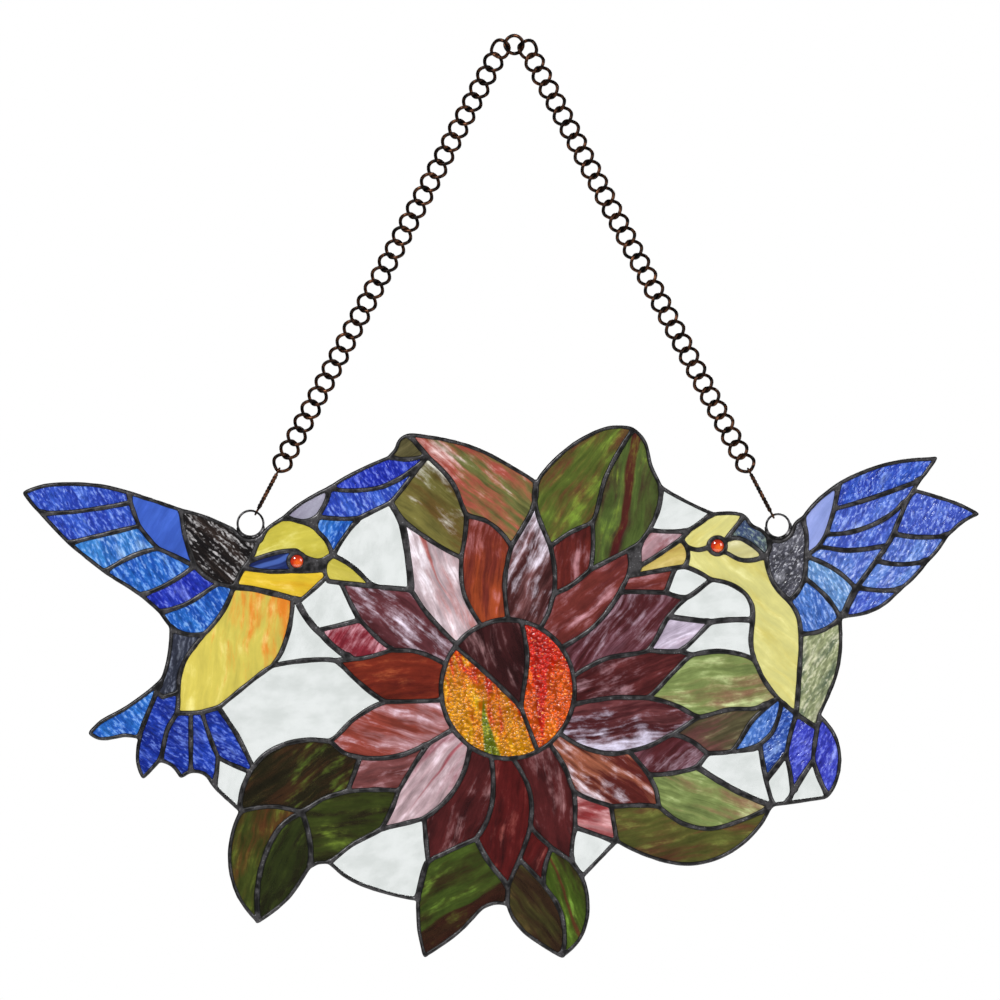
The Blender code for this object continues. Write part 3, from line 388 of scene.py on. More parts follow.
def depth_in_metal(points):
    """Distance of each point from the nearest edge point, below zero outside the metal. The panel is worked
    in square tiles, so that each point is only measured against edges near it. -1 means that none is within
    reach, which no place in the metal is."""
    depth = np.full(len(points), -1.0)
    cells = np.floor(points / TILE).astype(int)
    order = np.lexsort((cells[:, 1], cells[:, 0]))
    _, starts = np.unique(cells[order], axis=0, return_index=True)
    for these in np.split(order, starts[1:]):
        near = edge_points_near(cells[these[0]] * TILE)
        if len(near):
            square = ((points[these][:, None] - near[None, :, :2]) ** 2).sum(axis=2)
            closest = square.argmin(axis=1)
            side = ((points[these] - near[closest, :2]) * near[closest, 2:]).sum(axis=1)
            away = np.sqrt(square.min(axis=1))
            depth[these] = np.where(away > REACH, -1, away * np.where(side < ON_THE_LINE, -1, 1))
    return depth


print("tiles of", TILE * 1000, "mm")

# %% Rows of points over the metal
FRONT_ROWS = (0.00022, 0.0006, 0.00105, 0.00145)
BACK_ROWS = (0.0004, 0.0011)
FRONT_FILLER = 0.0011
BACK_FILLER = 0.0022
NOT_BESIDE_ANOTHER = 0.9
ROW_RISE = 0.87
CLEAR_OF_ROWS = 0.45
CROWDED = 0.4


def rows_inside(distances, filler):
    """Points at the given distances from the edges, and a grid of spacing filler over broad metal, whose
    rows are shifted by half a spacing in turn. Of points that fall in the same small square one is kept."""
    rows = []
    for distance in distances:
        row = np.concatenate([outline + metalward(outline) * distance for outline in outlines])
        rows.append(row[depth_in_metal(row) > distance * NOT_BESIDE_ANOTHER])
    low, high = rim.min(axis=0), rim.max(axis=0)
    across, up = np.arange(low[0], high[0], filler), np.arange(low[1], high[1], filler * ROW_RISE)
    grid = np.stack(np.meshgrid(across, up), axis=-1)
    grid[1::2, :, 0] += filler / 2
    grid = grid.reshape(-1, 2)
    rows.append(grid[depth_in_metal(grid) > max(distances) + filler * CLEAR_OF_ROWS])
    points = np.concatenate(rows)
    _, first = np.unique(np.round(points / (filler * CROWDED)).astype(int), axis=0, return_index=True)
    return points[np.sort(first)]


front_points = rows_inside(FRONT_ROWS, FRONT_FILLER)
back_points = rows_inside(BACK_ROWS, BACK_FILLER)
print("points on the front beads:", len(front_points), "and on the back:", len(back_points))

# %% [markdown]
# ## One closed solder piece
# Front and back get their own triangulation over the same outlines: fine in front, coarser behind. Which
# triangles are metal can be told from their corners alone. Only a triangle with all three corners on one
# outline can lie in a window or outside the panel, and then it meets them in the reverse of the outline's
# order. Walls between the two faces run round every outline, and the rim's walls are lower, so that the edge
# of the panel is a rounded bead as well.

# %% Triangulate the metal
EDGE = np.concatenate(outlines)
STARTS = np.cumsum([0] + [len(outline) for outline in outlines])
NEXT = np.concatenate([np.roll(np.arange(a, b), -1) for a, b in zip(STARTS, STARTS[1:])])
OWNER = np.repeat(np.arange(len(outlines)), np.diff(STARTS))


def triangulated(places, borders):
    """Triangles over all places, each counterclockwise, that cross no border. The units are millimetres."""
    made = delaunay_2d_cdt((places * 1000).tolist(), borders.tolist(), [], 0, 1e-6, True)
    source = np.array([kept[0] if kept else -1 for kept in made[3]])
    triangles = source[np.array(made[2])]
    triangles = triangles[(triangles >= 0).all(axis=1)]
    left = turns_left(*places[triangles].transpose(1, 0, 2)) > 0
    return np.where(left[:, None], triangles, triangles[:, ::-1])


def in_outline_order(triangles):
    """Whether a triangle meets its corners in the order of their numbers, wherever it begins."""
    first, second, third = triangles.T
    return ((first < second).astype(int) + (second < third) + (third < first)) == 2


def metal_triangles(points):
    """Triangles over the metal between the outlines and through the points."""
    places = np.concatenate((EDGE, points))
    triangles = triangulated(places, np.column_stack((np.arange(len(EDGE)), NEXT)))
    owner = np.concatenate((OWNER, np.full(len(points), -1)))[triangles]
    alone = (owner[:, 0] >= 0) & (owner[:, 0] == owner[:, 1]) & (owner[:, 1] == owner[:, 2])
    return places, triangles[~alone | in_outline_order(triangles)]


front_places, front_triangles = metal_triangles(front_points)
back_places, back_triangles = metal_triangles(back_points)
print("triangles in front:", len(front_triangles), "and behind:", len(back_triangles))

# %% Raise the beads
HALF_GLASS = 0.0015
BEAD_RISE = 0.001
BEAD_HALF_WIDTH = 0.00145
RIM_EDGE = 0.0009
SINK = 0.0001
BROAD_LUMPS, BROAD_GRAIN = 0.16, 0.0034
FINE_LUMPS, FINE_GRAIN = 0.13, 0.0013
HIGHEST_LUMP = 1.15
CREST_BEGINS = 0.9
RIM_BATCHES = 60


def up_the_bead(depth):
    """How far up its bead a place lies, from 0 to 1: the quarter ellipse sqrt(1 - (1 - u)^2) of u, the depth
    in the metal over the bead's half width."""
    return np.sqrt(1 - (1 - np.minimum(depth / BEAD_HALF_WIDTH, 1)) ** 2)


def bead_height(places):
    """Height over the middle of the panel: the bead's rise times how far up the bead the place is, with
    lumps, from a little below the face of the glass."""
    depth = np.maximum(depth_in_metal(places), 0)
    depth[:len(EDGE)] = 0
    share = up_the_bead(depth)
    lumps = 1 + BROAD_LUMPS * uneven(places, BROAD_GRAIN, 1) + FINE_LUMPS * uneven(places, FINE_GRAIN, 2)
    return HALF_GLASS - SINK + (BEAD_RISE + SINK) * share * np.minimum(lumps, HIGHEST_LUMP), share


def rounded_rim(height, places):
    """Brings the height down to the rim's own edge near the rim, along the same quarter ellipse."""
    gap = np.full(len(places), 1.0)
    near = np.flatnonzero(height < HALF_GLASS + BEAD_RISE * CREST_BEGINS)
    rim_points = along_edges(rim)[:, :2]
    for part in np.array_split(near, RIM_BATCHES):
        square = ((places[part][:, None] - rim_points[None, ::2]) ** 2).sum(axis=2)
        gap[part] = np.sqrt(square.min(axis=1))
    gap[:len(rim)] = 0
    return RIM_EDGE + (height - RIM_EDGE) * up_the_bead(gap)


print("the beads stand", BEAD_RISE * 1000, "mm proud of the glass")

# %% Pieces and what they carry
def new_piece(name, places, triangles, smooth=True):
    """An object of its own with the given corner places and triangles."""
    mesh = bpy.data.meshes.new(name)
    mesh.vertices.add(len(places))
    mesh.vertices.foreach_set("co", np.ascontiguousarray(places, np.float32).ravel())
    mesh.loops.add(3 * len(triangles))
    mesh.loops.foreach_set("vertex_index", np.ascontiguousarray(triangles, np.int32).ravel())
    mesh.polygons.add(len(triangles))
    mesh.polygons.foreach_set("loop_start", np.arange(0, 3 * len(triangles), 3, dtype=np.int32))
    mesh.polygons.foreach_set("use_smooth", np.full(len(triangles), smooth))
    mesh.update(calc_edges=True)
    mesh.validate()
    made = bpy.data.objects.new(name, mesh)
    bpy.context.scene.collection.objects.link(made)
    return made


def add_attribute(piece, name, values, kind="FLOAT_VECTOR"):
    """Gives each corner place of the piece a value that its material can read by name."""
    holder = piece.data.attributes.new(name, kind, "POINT")
    key = {"FLOAT": "value", "FLOAT_VECTOR": "vector", "FLOAT_COLOR": "color"}[kind]
    holder.data.foreach_set(key, np.ascontiguousarray(values, np.float32).ravel())


def walls_between(here, there, shift):
    """Two triangles for each edge from here to there, between it and the same edge of the other face, whose
    places come shift places later."""
    return np.concatenate((
        np.column_stack((there, here, here + shift)), np.column_stack((there, here + shift, there + shift)),
    ))


# %% Close the solder piece
def face_of_beads(places, outward):
    """Corner places of one face of the beads, on the side that outward gives, and how far up the bead each
    of them lies."""
    height, share = bead_height(places)
    height = rounded_rim(height, places)
    return np.column_stack((places[:, 0], outward * height, places[:, 1])), share


def solder_piece():
    """The front face, the back face and the walls between them as one closed surface."""
    front, front_share = face_of_beads(front_places, -1)
    back, back_share = face_of_beads(back_places, 1)
    walls = walls_between(np.arange(len(EDGE)), NEXT, len(front))
    triangles = np.concatenate((front_triangles, back_triangles[:, ::-1] + len(front), walls))
    made = new_piece("solder_beads", np.concatenate((front, back)), triangles)
    add_attribute(made, "crest", np.concatenate((front_share, back_share)), "FLOAT")
    return made


solder = solder_piece()
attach(solder, "root")
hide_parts("solder_lattice")
print("solder triangles:", len(solder.data.polygons))

# %% [markdown]
# ## Materials as expressions
# A material is a small graph of nodes. Written out node by node it is hard to read, so a socket is wrapped in
# a class on which + - * ** work, and each of these adds a Math node. One method adds any other node. What
# stays the same all over a surface is set as a plain number on the shader.

# %% A number in a material
class Flow:
    """A number or colour that comes out of a node. Arithmetic on it adds Math nodes to the same graph."""

    def __init__(self, graph, socket):
        self.graph, self.socket = graph, socket

    def math(self, operation, *values):
        """What a Math node with this operation makes of the values."""
        return self.graph.node("Math", {"operation": operation}, dict(enumerate(values)))

    def beside(self, out):
        """Another output of the same node, by its place or name."""
        return Flow(self.graph, self.socket.node.outputs[out])

    def __add__(self, other):
        return self.math("ADD", self, other)

    def __sub__(self, other):
        return self.math("SUBTRACT", self, other)

    def __rsub__(self, other):
        return self.math("SUBTRACT", other, self)

    def __mul__(self, other):
        return self.math("MULTIPLY", self, other)

    def __pow__(self, other):
        return self.math("POWER", self, other)

    __radd__ = __add__
    __rmul__ = __mul__

    def size(self):
        """The number without its sign."""
        return self.math("ABSOLUTE", self)

    def within(self, low, high, start=0.0, end=1.0):
        """A soft step: start below low, end above high."""
        return self.graph.node(
            "MapRange", {"interpolation_type": "SMOOTHSTEP"}, {0: self, 1: low, 2: high, 3: start, 4: end})


def display(red, green, blue):
    """A colour as a screen shows it, from 0 to 255, in the linear amounts of light that a shader works in."""
    share = np.array((red, green, blue)) / 255
    return (*np.where(share <= 0.04045, share / 12.92, ((share + 0.055) / 1.055) ** 2.4).tolist(), 1.0)


print("middle grey on the screen is", round(display(128, 128, 128)[0], 3), "of the light")

# %% A graph of nodes
class Graph:
    """A tree of nodes in the making."""

    def __init__(self, tree):
        self.tree = tree

    def node(self, kind, settings=None, values=None, out=0):
        """Adds any node: its kind, its settings, and values or links for its sockets by place or name."""
        made = self.tree.nodes.new("ShaderNode" + kind)
        for name, value in (settings or {}).items():
            setattr(made, name, value)
        for place, value in (values or {}).items():
            self.join(made.inputs[place], value)
        return Flow(self, made.outputs[out])

    def join(self, socket, value):
        """Gives a socket a link to a flow, or else a plain value."""
        if isinstance(value, Flow):
            self.tree.links.new(value.socket, socket)
        else:
            socket.default_value = value


class Finish(Graph):
    """A material in the making, with its Principled shader."""

    def __init__(self, name, **constants):
        self.material = bpy.data.materials.new(name)
        self.material.use_nodes = True
        super().__init__(self.material.node_tree)
        self.shader = self.tree.nodes["Principled BSDF"]
        self.feed(**constants)

    def feed(self, **values):
        """Gives the shader's sockets their values or links. Their names have _ for each space."""
        for socket, value in values.items():
            self.join(self.shader.inputs[socket.replace("_", " ")], value)

    def mixed(self, share, first, second):
        """The first colour where the share is 0, going over into the second where it is 1."""
        return self.node("Mix", {"data_type": "RGBA"}, {0: share, 6: first, 7: second}, out=2)

    def brightened(self, colour, amount):
        """The colour times an amount."""
        return self.node("VectorMath", {"operation": "SCALE"}, {0: colour, 3: amount})

    def read(self, name, out=1):
        """A value that the mesh carries under this name: 0 gives it as a colour, 1 as numbers, 2 as one."""
        return self.node("Attribute", {"attribute_name": name}, {}, out)

    def parts(self, vector):
        """The three numbers of a vector."""
        first = self.node("SeparateXYZ", {}, {0: vector})
        return [first, first.beside(1), first.beside(2)]

    def own_place(self):
        """Object coordinates: metres from the hanging point."""
        return self.node("TexCoord", {}, {}, out=3)

    def at(self, x, y, z):
        """The vector of three numbers."""
        return self.node("CombineXYZ", {}, {0: x, 1: y, 2: z})

    def noise(self, where, scale=1.0, detail=2.0, roughness=0.5):
        """A smooth random field round 0.5, with spots about 1 / scale metres across."""
        return self.node(
            "TexNoise", {}, {"Vector": where, "Scale": scale, "Detail": detail, "Roughness": roughness})

    def raised(self, height, distance, strength):
        """Relief that stands a distance higher for each 1 of height."""
        bump = self.node("Bump", {}, {"Height": height, "Distance": distance, "Strength": strength})
        self.feed(Normal=bump)


print("materials are written as expressions")

# %% [markdown]
# ## Blackened solder
# The beads are tin and lead, stained by a copper patina. The stain is darkest beside the glass, where it
# pools. Along the top of the bead the colour goes to a dull grey in patches, partly where the patina is
# rubbed off and partly a painted highlight, with small painted glints of bright tin where the metal dimples.
# The mesh carries how high up the bead each point lies, so the grey and the painted highlight can follow it.

# %% The patina
PATINA_BLACK = display(15, 14, 15)
WORN_PEWTER_AND_SHEEN = display(80, 78, 80)
PAINTED_GLINT_TIN = display(184, 184, 188)


def patina_finish():
    """Near black at the edge of a bead, towards dull pewter on its crest in patches, partly rubbed metal and
    partly a painted highlight, with painted glints of bright tin.
    """
    finish = Finish("blackened solder", Metallic=0.4)
    place = finish.own_place()
    crest = finish.read("crest", out=2)
    patch = finish.noise(place, 160.0, 3.0)
    speck = finish.noise(place, 900.0, 2.0)
    # the grey on the crest: rubbed pewter and a painted highlight
    wear_and_painted_sheen = crest ** 5 * patch.within(0.36, 0.62)
    # painted glints of bright tin on the crest
    bright = crest * speck.within(0.6, 0.72) * patch.within(0.48, 0.62)
    dull = finish.mixed(wear_and_painted_sheen, PATINA_BLACK, WORN_PEWTER_AND_SHEEN)
    finish.feed(Base_Color=finish.mixed(bright * 0.5, dull, PAINTED_GLINT_TIN))
    finish.feed(Roughness=0.36 - wear_and_painted_sheen * 0.08 + speck * 0.12)
    finish.raised(patch * 0.6 + speck * 0.4, 0.0003, 0.6)
    return finish.material


solder.data.materials.append(patina_finish())
print("dressed:", solder.name)

# %% [markdown]
# ## Sheets of art glass
# A glassworks ladles several colours together and rolls them out, so every sheet has a ground colour, broad
# streaks of a second one drawn out along the rolling direction, and thin wisps of a third. Each pane is cut
# with the streaks running the way that suits the feather or the petal. One material can serve every sheet if
# each pane carries its own colours and its own grain, measured along and across the streaks.

# %% The stock of sheets
# ground, streak and wisp as the screen shows them, then the share of streaks and of wisps
SHEETS = {
    "ultramarine": ((44, 70, 186), (58, 98, 210), (152, 180, 242), 0.4, 0.24),
    "deep ultramarine": ((32, 48, 178), (44, 68, 196), (132, 150, 236), 0.4, 0.22),
    "azure": ((30, 86, 190), (46, 120, 214), (150, 194, 243), 0.45, 0.26),
    "dull azure": ((42, 76, 168), (58, 100, 192), (156, 184, 234), 0.45, 0.24),
    "bright azure": ((44, 104, 200), (66, 142, 224), (178, 212, 247), 0.45, 0.3),
    "navy": ((20, 44, 150), (34, 68, 186), (124, 152, 234), 0.4, 0.22),
    "cobalt": ((66, 90, 202), (86, 120, 220), (176, 198, 247), 0.45, 0.27),
    "sky": ((100, 148, 216), (124, 176, 232), (212, 230, 250), 0.45, 0.36),
    "sea blue": ((62, 106, 194), (82, 130, 214), (168, 196, 241), 0.45, 0.26),
    "indigo": ((56, 62, 190), (70, 82, 206), (150, 162, 240), 0.45, 0.23),
    "violet blue": ((78, 106, 206), (102, 142, 226), (192, 208, 247), 0.45, 0.3),
    "flat blue": ((58, 92, 190), (66, 102, 200), (76, 108, 206), 0.4, 0.2),
    "periwinkle": ((140, 156, 220), (152, 166, 228), (166, 178, 236), 0.4, 0.2),
    "stripe blue": ((28, 40, 92), (36, 52, 112), (62, 88, 156), 0.4, 0.2),
    "black silver": ((24, 21, 22), (52, 42, 38), (206, 203, 204), 0.35, 0.1),
    "slate": ((56, 60, 76), (38, 42, 54), (128, 134, 150), 0.4, 0.2),
    "night grey": ((92, 92, 104), (56, 56, 64), (196, 196, 206), 0.36, 0.3),
    "grey green": ((86, 98, 100), (64, 82, 120), (150, 168, 150), 0.4, 0.3),
    "lemon": ((204, 192, 76), (190, 176, 60), (222, 216, 130), 0.36, 0.3),
    "beak yellow": ((206, 192, 84), (190, 178, 70), (220, 212, 122), 0.4, 0.26),
    "belly yellow": ((214, 198, 90), (228, 132, 40), (232, 222, 140), 0.17, 0.3),
    "golden": ((230, 194, 52), (216, 166, 36), (240, 220, 120), 0.36, 0.3),
    "butter": ((220, 214, 136), (212, 200, 112), (236, 232, 172), 0.36, 0.3),
    "butter patch": ((214, 208, 152), (202, 194, 130), (232, 228, 192), 0.4, 0.34),
    "amber": ((202, 180, 98), (172, 138, 66), (218, 200, 130), 0.34, 0.3),
    "mauve": ((166, 164, 182), (144, 138, 160), (196, 198, 210), 0.4, 0.3),
    "clear": ((226, 230, 229), (220, 224, 222), (236, 239, 238), 0.3, 0.3),
    "pale pink": ((198, 176, 182), (172, 110, 106), (228, 222, 230), 0.18, 0.44),
    "lilac": ((184, 170, 190), (156, 104, 124), (216, 208, 224), 0.24, 0.36),
    "rosy lilac": ((190, 162, 168), (148, 88, 98), (216, 200, 210), 0.28, 0.4),
    "rust": ((118, 46, 36), (152, 66, 34), (176, 120, 124), 0.4, 0.3),
    "orange red": ((122, 42, 26), (84, 24, 18), (160, 84, 48), 0.4, 0.3),
    "smoky petal": ((70, 32, 32), (120, 76, 76), (208, 200, 214), 0.42, 0.5),
    "oxblood": ((106, 38, 32), (66, 22, 24), (158, 112, 118), 0.44, 0.38),
    "copper petal": ((118, 50, 44), (84, 32, 34), (176, 130, 138), 0.42, 0.38),
    "dark oxblood": ((72, 25, 27), (98, 42, 42), (164, 128, 136), 0.42, 0.42),
    "mulberry": ((80, 32, 36), (108, 66, 76), (164, 142, 156), 0.42, 0.42),
    "deep red": ((88, 22, 22), (48, 12, 14), (140, 74, 68), 0.42, 0.3),
    "wine": ((84, 30, 31), (46, 14, 16), (150, 110, 112), 0.4, 0.36),
    "lilac oxblood": ((76, 30, 34), (112, 60, 62), (206, 200, 222), 0.42, 0.5),
    "candy": ((92, 34, 30), (158, 92, 68), (218, 210, 222), 0.42, 0.38),
    "rose stripe": ((200, 136, 138), (140, 50, 52), (222, 196, 200), 0.46, 0.36),
    "rose brown": ((128, 74, 74), (90, 42, 40), (186, 152, 160), 0.42, 0.4),
    "brick stripe": ((148, 66, 54), (176, 130, 134), (216, 200, 216), 0.44, 0.36),
    "smoky rose": ((104, 54, 60), (70, 28, 32), (214, 202, 218), 0.4, 0.48),
    "crimson stripe": ((146, 44, 58), (108, 26, 40), (220, 172, 184), 0.4, 0.62),
    "dusty pink": ((190, 152, 160), (140, 46, 50), (226, 216, 228), 0.38, 0.6),
    "maroon": ((64, 26, 28), (38, 12, 14), (146, 110, 112), 0.4, 0.36),
    "ember": ((228, 86, 4), (212, 34, 4), (238, 142, 12), 0.4, 0.28),
    "honey": ((224, 144, 0), (208, 40, 2), (222, 184, 10), 0.36, 0.34),
    "pale olive": ((112, 106, 54), (92, 70, 34), (214, 214, 204), 0.42, 0.2),
    "olive": ((86, 80, 50), (102, 94, 62), (126, 122, 92), 0.4, 0.24),
    "blush leaf": ((110, 112, 62), (164, 78, 66), (210, 190, 188), 0.5, 0.28),
    "leaf brown streak": ((84, 98, 38), (96, 56, 38), (118, 150, 50), 0.4, 0.28),
    "leaf": ((82, 100, 46), (62, 42, 34), (124, 152, 48), 0.47, 0.34),
    "grass": ((126, 142, 82), (132, 100, 76), (176, 188, 134), 0.36, 0.38),
    "khaki": ((84, 78, 54), (98, 62, 58), (130, 134, 96), 0.42, 0.3),
    "dark leaf": ((34, 30, 13), (54, 34, 18), (86, 110, 38), 0.42, 0.24),
    "moss": ((56, 66, 22), (32, 26, 12), (96, 116, 38), 0.44, 0.2),
    "brown leaf": ((58, 66, 22), (84, 50, 24), (96, 116, 40), 0.38, 0.28),
    "forest": ((40, 48, 16), (26, 22, 10), (76, 96, 30), 0.42, 0.2),
    "bright leaf": ((62, 78, 26), (46, 36, 16), (112, 146, 52), 0.4, 0.24),
    "bark": ((52, 34, 20), (60, 58, 26), (92, 70, 40), 0.42, 0.2),
    "spring leaf": ((66, 86, 24), (48, 42, 18), (120, 158, 60), 0.38, 0.26),
    "olive brown": ((84, 86, 38), (88, 56, 36), (118, 132, 62), 0.42, 0.26),
    "mottled": ((164, 172, 128), (94, 110, 90), (224, 220, 192), 0.44, 0.42),
}
print("sheets in stock:", len(SHEETS))

# %% [markdown]
# ## The cutting list
# Each pane is given by its sheet, one pattern square that lies in it, and the angle of its streaks from the
# horizontal. No sheet is even, and the glazier chose where to cut. So a pane may also say where it has more
# than its sheet's share: "streaks" and "wisps" give the share that is gained in each centimetre along the
# grain and across it, and "light" does so for the brightness. A "rib" is one bold streak that was placed on
# purpose, such as the maroon one of the upper leaf: its distance from the middle of the pane, its half width,
# its colour and by how much the half width grows along the grain. The lighter rib along the eye stripe is a
# painted highlight instead.

# %% Panes of the left bird
PANES = {
    "left_wing_feathers": [
        ("ultramarine", (60, 498), 118), ("ultramarine", (85, 525), 122, {"wisps": (0, -0.03)}),
        ("bright azure", (115, 548), 116, {"wisps": (0, -0.05)}), ("azure", (140, 577), 124),
        ("deep ultramarine", (165, 598), 126), ("azure", (195, 620), 124),
    ],
    "left_wing_shoulder": [("flat blue", (160, 525), 60)],
    "left_nape": [("black silver", (215, 550), 136)],
    "left_crown": [("lemon", (285, 537), 20, {"wisps": (-0.05, -0.12)})],
    # the lighter blue rib along the stripe's middle is a painted highlight
    "left_eye_stripe": [("stripe blue", (275, 563), 15, {"rib": (0.0002, 0.0018, (72, 100, 176), 0.02)})],
    "left_cheek": [("golden", (280, 580), -8, {"streaks": (0.08, -0.1)})],
    "left_beak": [("beak yellow", (338, 570), -20)],
    "left_belly": [("belly yellow", (240, 645), 86, {"streaks": (0.03, -0.15), "light": (0.0, 0.01)})],
    "left_back": [("slate", (174, 660), 78)],
    "left_tail_feathers": [
        ("azure", (120, 722), 132, {"light": (-0.05, 0)}), ("navy", (155, 735), 146),
        ("navy", (177, 745), 150), ("navy", (203, 755), 140), ("navy", (225, 738), 150),
    ],
    "left_tail_clear": [("clear", (230, 780), 90)],
    "left_far_wing_mauve": [("mauve", (308, 508), 35)],
    "left_far_wing_feathers": [
        ("deep ultramarine", (360, 480), 116), ("ultramarine", (360, 503), 118), ("azure", (335, 528), 70),
    ],
}
print("groups of panes in the left bird:", len(PANES))

# %% Panes of the flower
PANES.update({
    "petals_top": [
        ("pale pink", (430, 580), 114, {"streaks": (-0.04, -0.16), "wisps": (0.05, 0.1),
                                        "rib": (-0.0016, 0.0002, (176, 88, 80), 0.05)}),
        ("rust", (487, 560), 82, {"streaks": (-0.12, 0), "wisps": (0.1, 0)}),
        ("smoky petal", (530, 570), 66, {"wisps": (0.1, 0), "light": (0.06, 0)}),
    ],
    "petals_upper_right": [
        ("oxblood", (572, 560), 84), ("copper petal", (590, 600), 40, {"wisps": (-0.05, 0)}),
    ],
    "petals_right": [
        ("copper petal", (648, 582), 8), ("mulberry", (640, 620), 52, {"wisps": (0.04, 0.1)}),
        ("dark oxblood", (630, 675), 20, {"wisps": (-0.06, 0)}), ("lilac", (680, 632), 30),
    ],
    "petals_lower_right": [
        ("lilac oxblood", (625, 725), 8, {"wisps": (0, -0.18)}),
        ("candy", (590, 770), -36, {"wisps": (0, -0.12)}),
        ("mulberry", (670, 752), 42, {"wisps": (0, -0.1)}), ("rose stripe", (590, 815), -8),
    ],
    "petals_below": [
        ("wine", (450, 810), 68, {"wisps": (0, -0.08)}), ("deep red", (510, 800), 82),
        ("wine", (550, 800), 100, {"wisps": (0.05, 0)}), ("deep red", (535, 860), 60),
    ],
    "petals_lower_left": [
        ("rosy lilac", (430, 775), 52, {"streaks": (0.1, 0), "rib": (-0.002, 0.0004, (158, 74, 84), 0.03)}),
        ("brick stripe", (385, 730), -16), ("rose brown", (375, 775), 8),
    ],
    "petals_left": [
        ("smoky rose", (405, 620), -36, {"wisps": (0, -0.06)}), ("orange red", (400, 680), 8),
        ("crimson stripe", (350, 640), 62),
    ],
    "petal_pale_pink": [("dusty pink", (655, 545), 40, {"wisps": (0.1, 0)})],
    "heart_maroon": [("maroon", (495, 650), 108)],
    "heart_red": [("ember", (550, 690), 92, {"streaks": (0.14, 0), "wisps": (-0.04, 0),
                                             "rib": (0.003, 0.0042, (214, 30, 14), 0.11)})],
    "heart_yellow": [("honey", (480, 710), 100, {"streaks": (0.14, -0.16), "wisps": (0, 0.05),
                                                "rib": (-0.0006, 0.0010, (104, 132, 22), -0.16)})],
})
print("and with the flower:", len(PANES))

# %% Panes of the leaves
PANES.update({
    "upper_left_leaf_tip": [("olive", (403, 448), 30)],
    "upper_left_leaf": [
        ("pale olive", (430, 500), -38, {"wisps": (0.04, 0.3), "streaks": (0, 0.1)}),
        ("blush leaf", (480, 480), -40, {"streaks": (-0.05, 0), "wisps": (-0.09, 0.05), "light": (-0.02, 0)}),
    ],
    "top_leaf": [
        ("leaf brown streak", (570, 490), 52, {"wisps": (0, -0.06), "streaks": (0.03, 0)}),
        ("leaf", (630, 500), 80, {"rib": (0.0003, 0.0025, (76, 20, 24), 0.014), "wisps": (0, 0.04)}),
    ],
    "right_leaf": [("grass", (700, 685), 6, {"streaks": (0.05, -0.12)}),
                   ("khaki", (720, 735), 28, {"streaks": (-0.1, 0), "wisps": (0.08, 0)})],
    "lower_left_leaves": [
        ("dark leaf", (300, 770), 36, {"wisps": (0.06, -0.06)}), ("moss", (345, 820), 4),
        ("brown leaf", (245, 865), 76, {"streaks": (0.06, 0)}), ("forest", (285, 865), 62),
    ],
    "bottom_left_leaf": [("bright leaf", (460, 885), 30, {"rib": (-0.0172, 0.0085, (50, 20, 14), 0.02),
                                                         "wisps": (-0.05, 0.02)})],
    "bottom_right_leaf": [
        ("bark", (535, 905), -52, {"streaks": (-0.08, -0.1)}),
        ("spring leaf", (570, 890), -68, {"rib": (-0.0015, 0.0010, (84, 46, 26), 0.0)}),
    ],
    "lower_right_leaf": [("grass", (700, 795), -20, {"streaks": (0.04, 0)}),
                         ("olive brown", (690, 845), 10, {"light": (0.03, 0.04)})],
})
print("and with the leaves:", len(PANES))

# %% Panes of the right bird and the clear ground
PANES.update({
    "right_beak": [("amber", (670, 558), 25, {"light": (0.04, 0)})],
    "right_crown": [("butter", (715, 527), 36, {"light": (-0.02, 0)})],
    "right_neck_patch": [("butter patch", (740, 549), 10)],
    "right_belly": [("butter", (770, 640), -42)],
    "right_back": [("night grey", (785, 570), 50), ("grey green", (755, 536), -48)],
    "right_flank": [("mottled", (818, 670), 58)],
    "right_wing_shoulder": [("periwinkle", (818, 525), 60)],
    "right_wing_feathers": [
        ("ultramarine", (890, 477), 60), ("cobalt", (860, 515), 62), ("cobalt", (860, 540), 58),
        ("violet blue", (850, 565), 56), ("cobalt", (930, 515), 64), ("violet blue", (910, 550), 60),
        ("violet blue", (890, 576), 48), ("cobalt", (870, 600), 52), ("sky", (825, 575), 118),
        ("sea blue", (815, 610), 112),
    ],
    "right_tail_feathers": [
        ("sea blue", (760, 722), 62), ("dull azure", (780, 730), 40), ("indigo", (802, 745), 50),
        ("indigo", (828, 755), 66),
    ],
    "clear_above_left_beak": [("clear", (380, 545), 80)],
    "clear_below_left_beak": [("clear", (325, 605), 70), ("clear", (300, 645), 60)],
    "clear_left": [("clear", (300, 700), 10)],
    "clear_lower_left": [("clear", (380, 860), 20)],
    "clear_lower_right": [("clear", (592, 850), 60)],
    "clear_above_right_beak": [("clear", (675, 510), 20)],
    "clear_below_right_beak": [("clear", (690, 582), 0), ("clear", (720, 605), 10), ("clear", (725, 640), 0)],
    "clear_right": [("clear", (735, 770), 20), ("clear", (780, 785), 70), ("clear", (812, 788), 70)],
})
print("panes on the cutting list:", sum(len(panes) for panes in PANES.values()))

# %% [markdown]
# ## Cutting the panes
# A pane is a flat plate under the beads: its outline is the window's, moved half a millimetre outwards, and
# its corners carry the pane's grain and colours. All panes that belong to one plain solid become one piece,
# which stands in its place.

# %% Find the window of a square
def holds(outline, spot):
    """Whether the outline goes round the spot: an odd number of its edges cross the line to the right."""
    ahead = np.roll(outline, -1, axis=0)
    crosses = (outline[:, 1] > spot[1]) != (ahead[:, 1] > spot[1])
    edge = ahead[crosses] - outline[crosses]
    meets = outline[crosses, 0] + (spot[1] - outline[crosses, 1]) * edge[:, 0] / edge[:, 1]
    return bool((meets > spot[0]).sum() % 2)


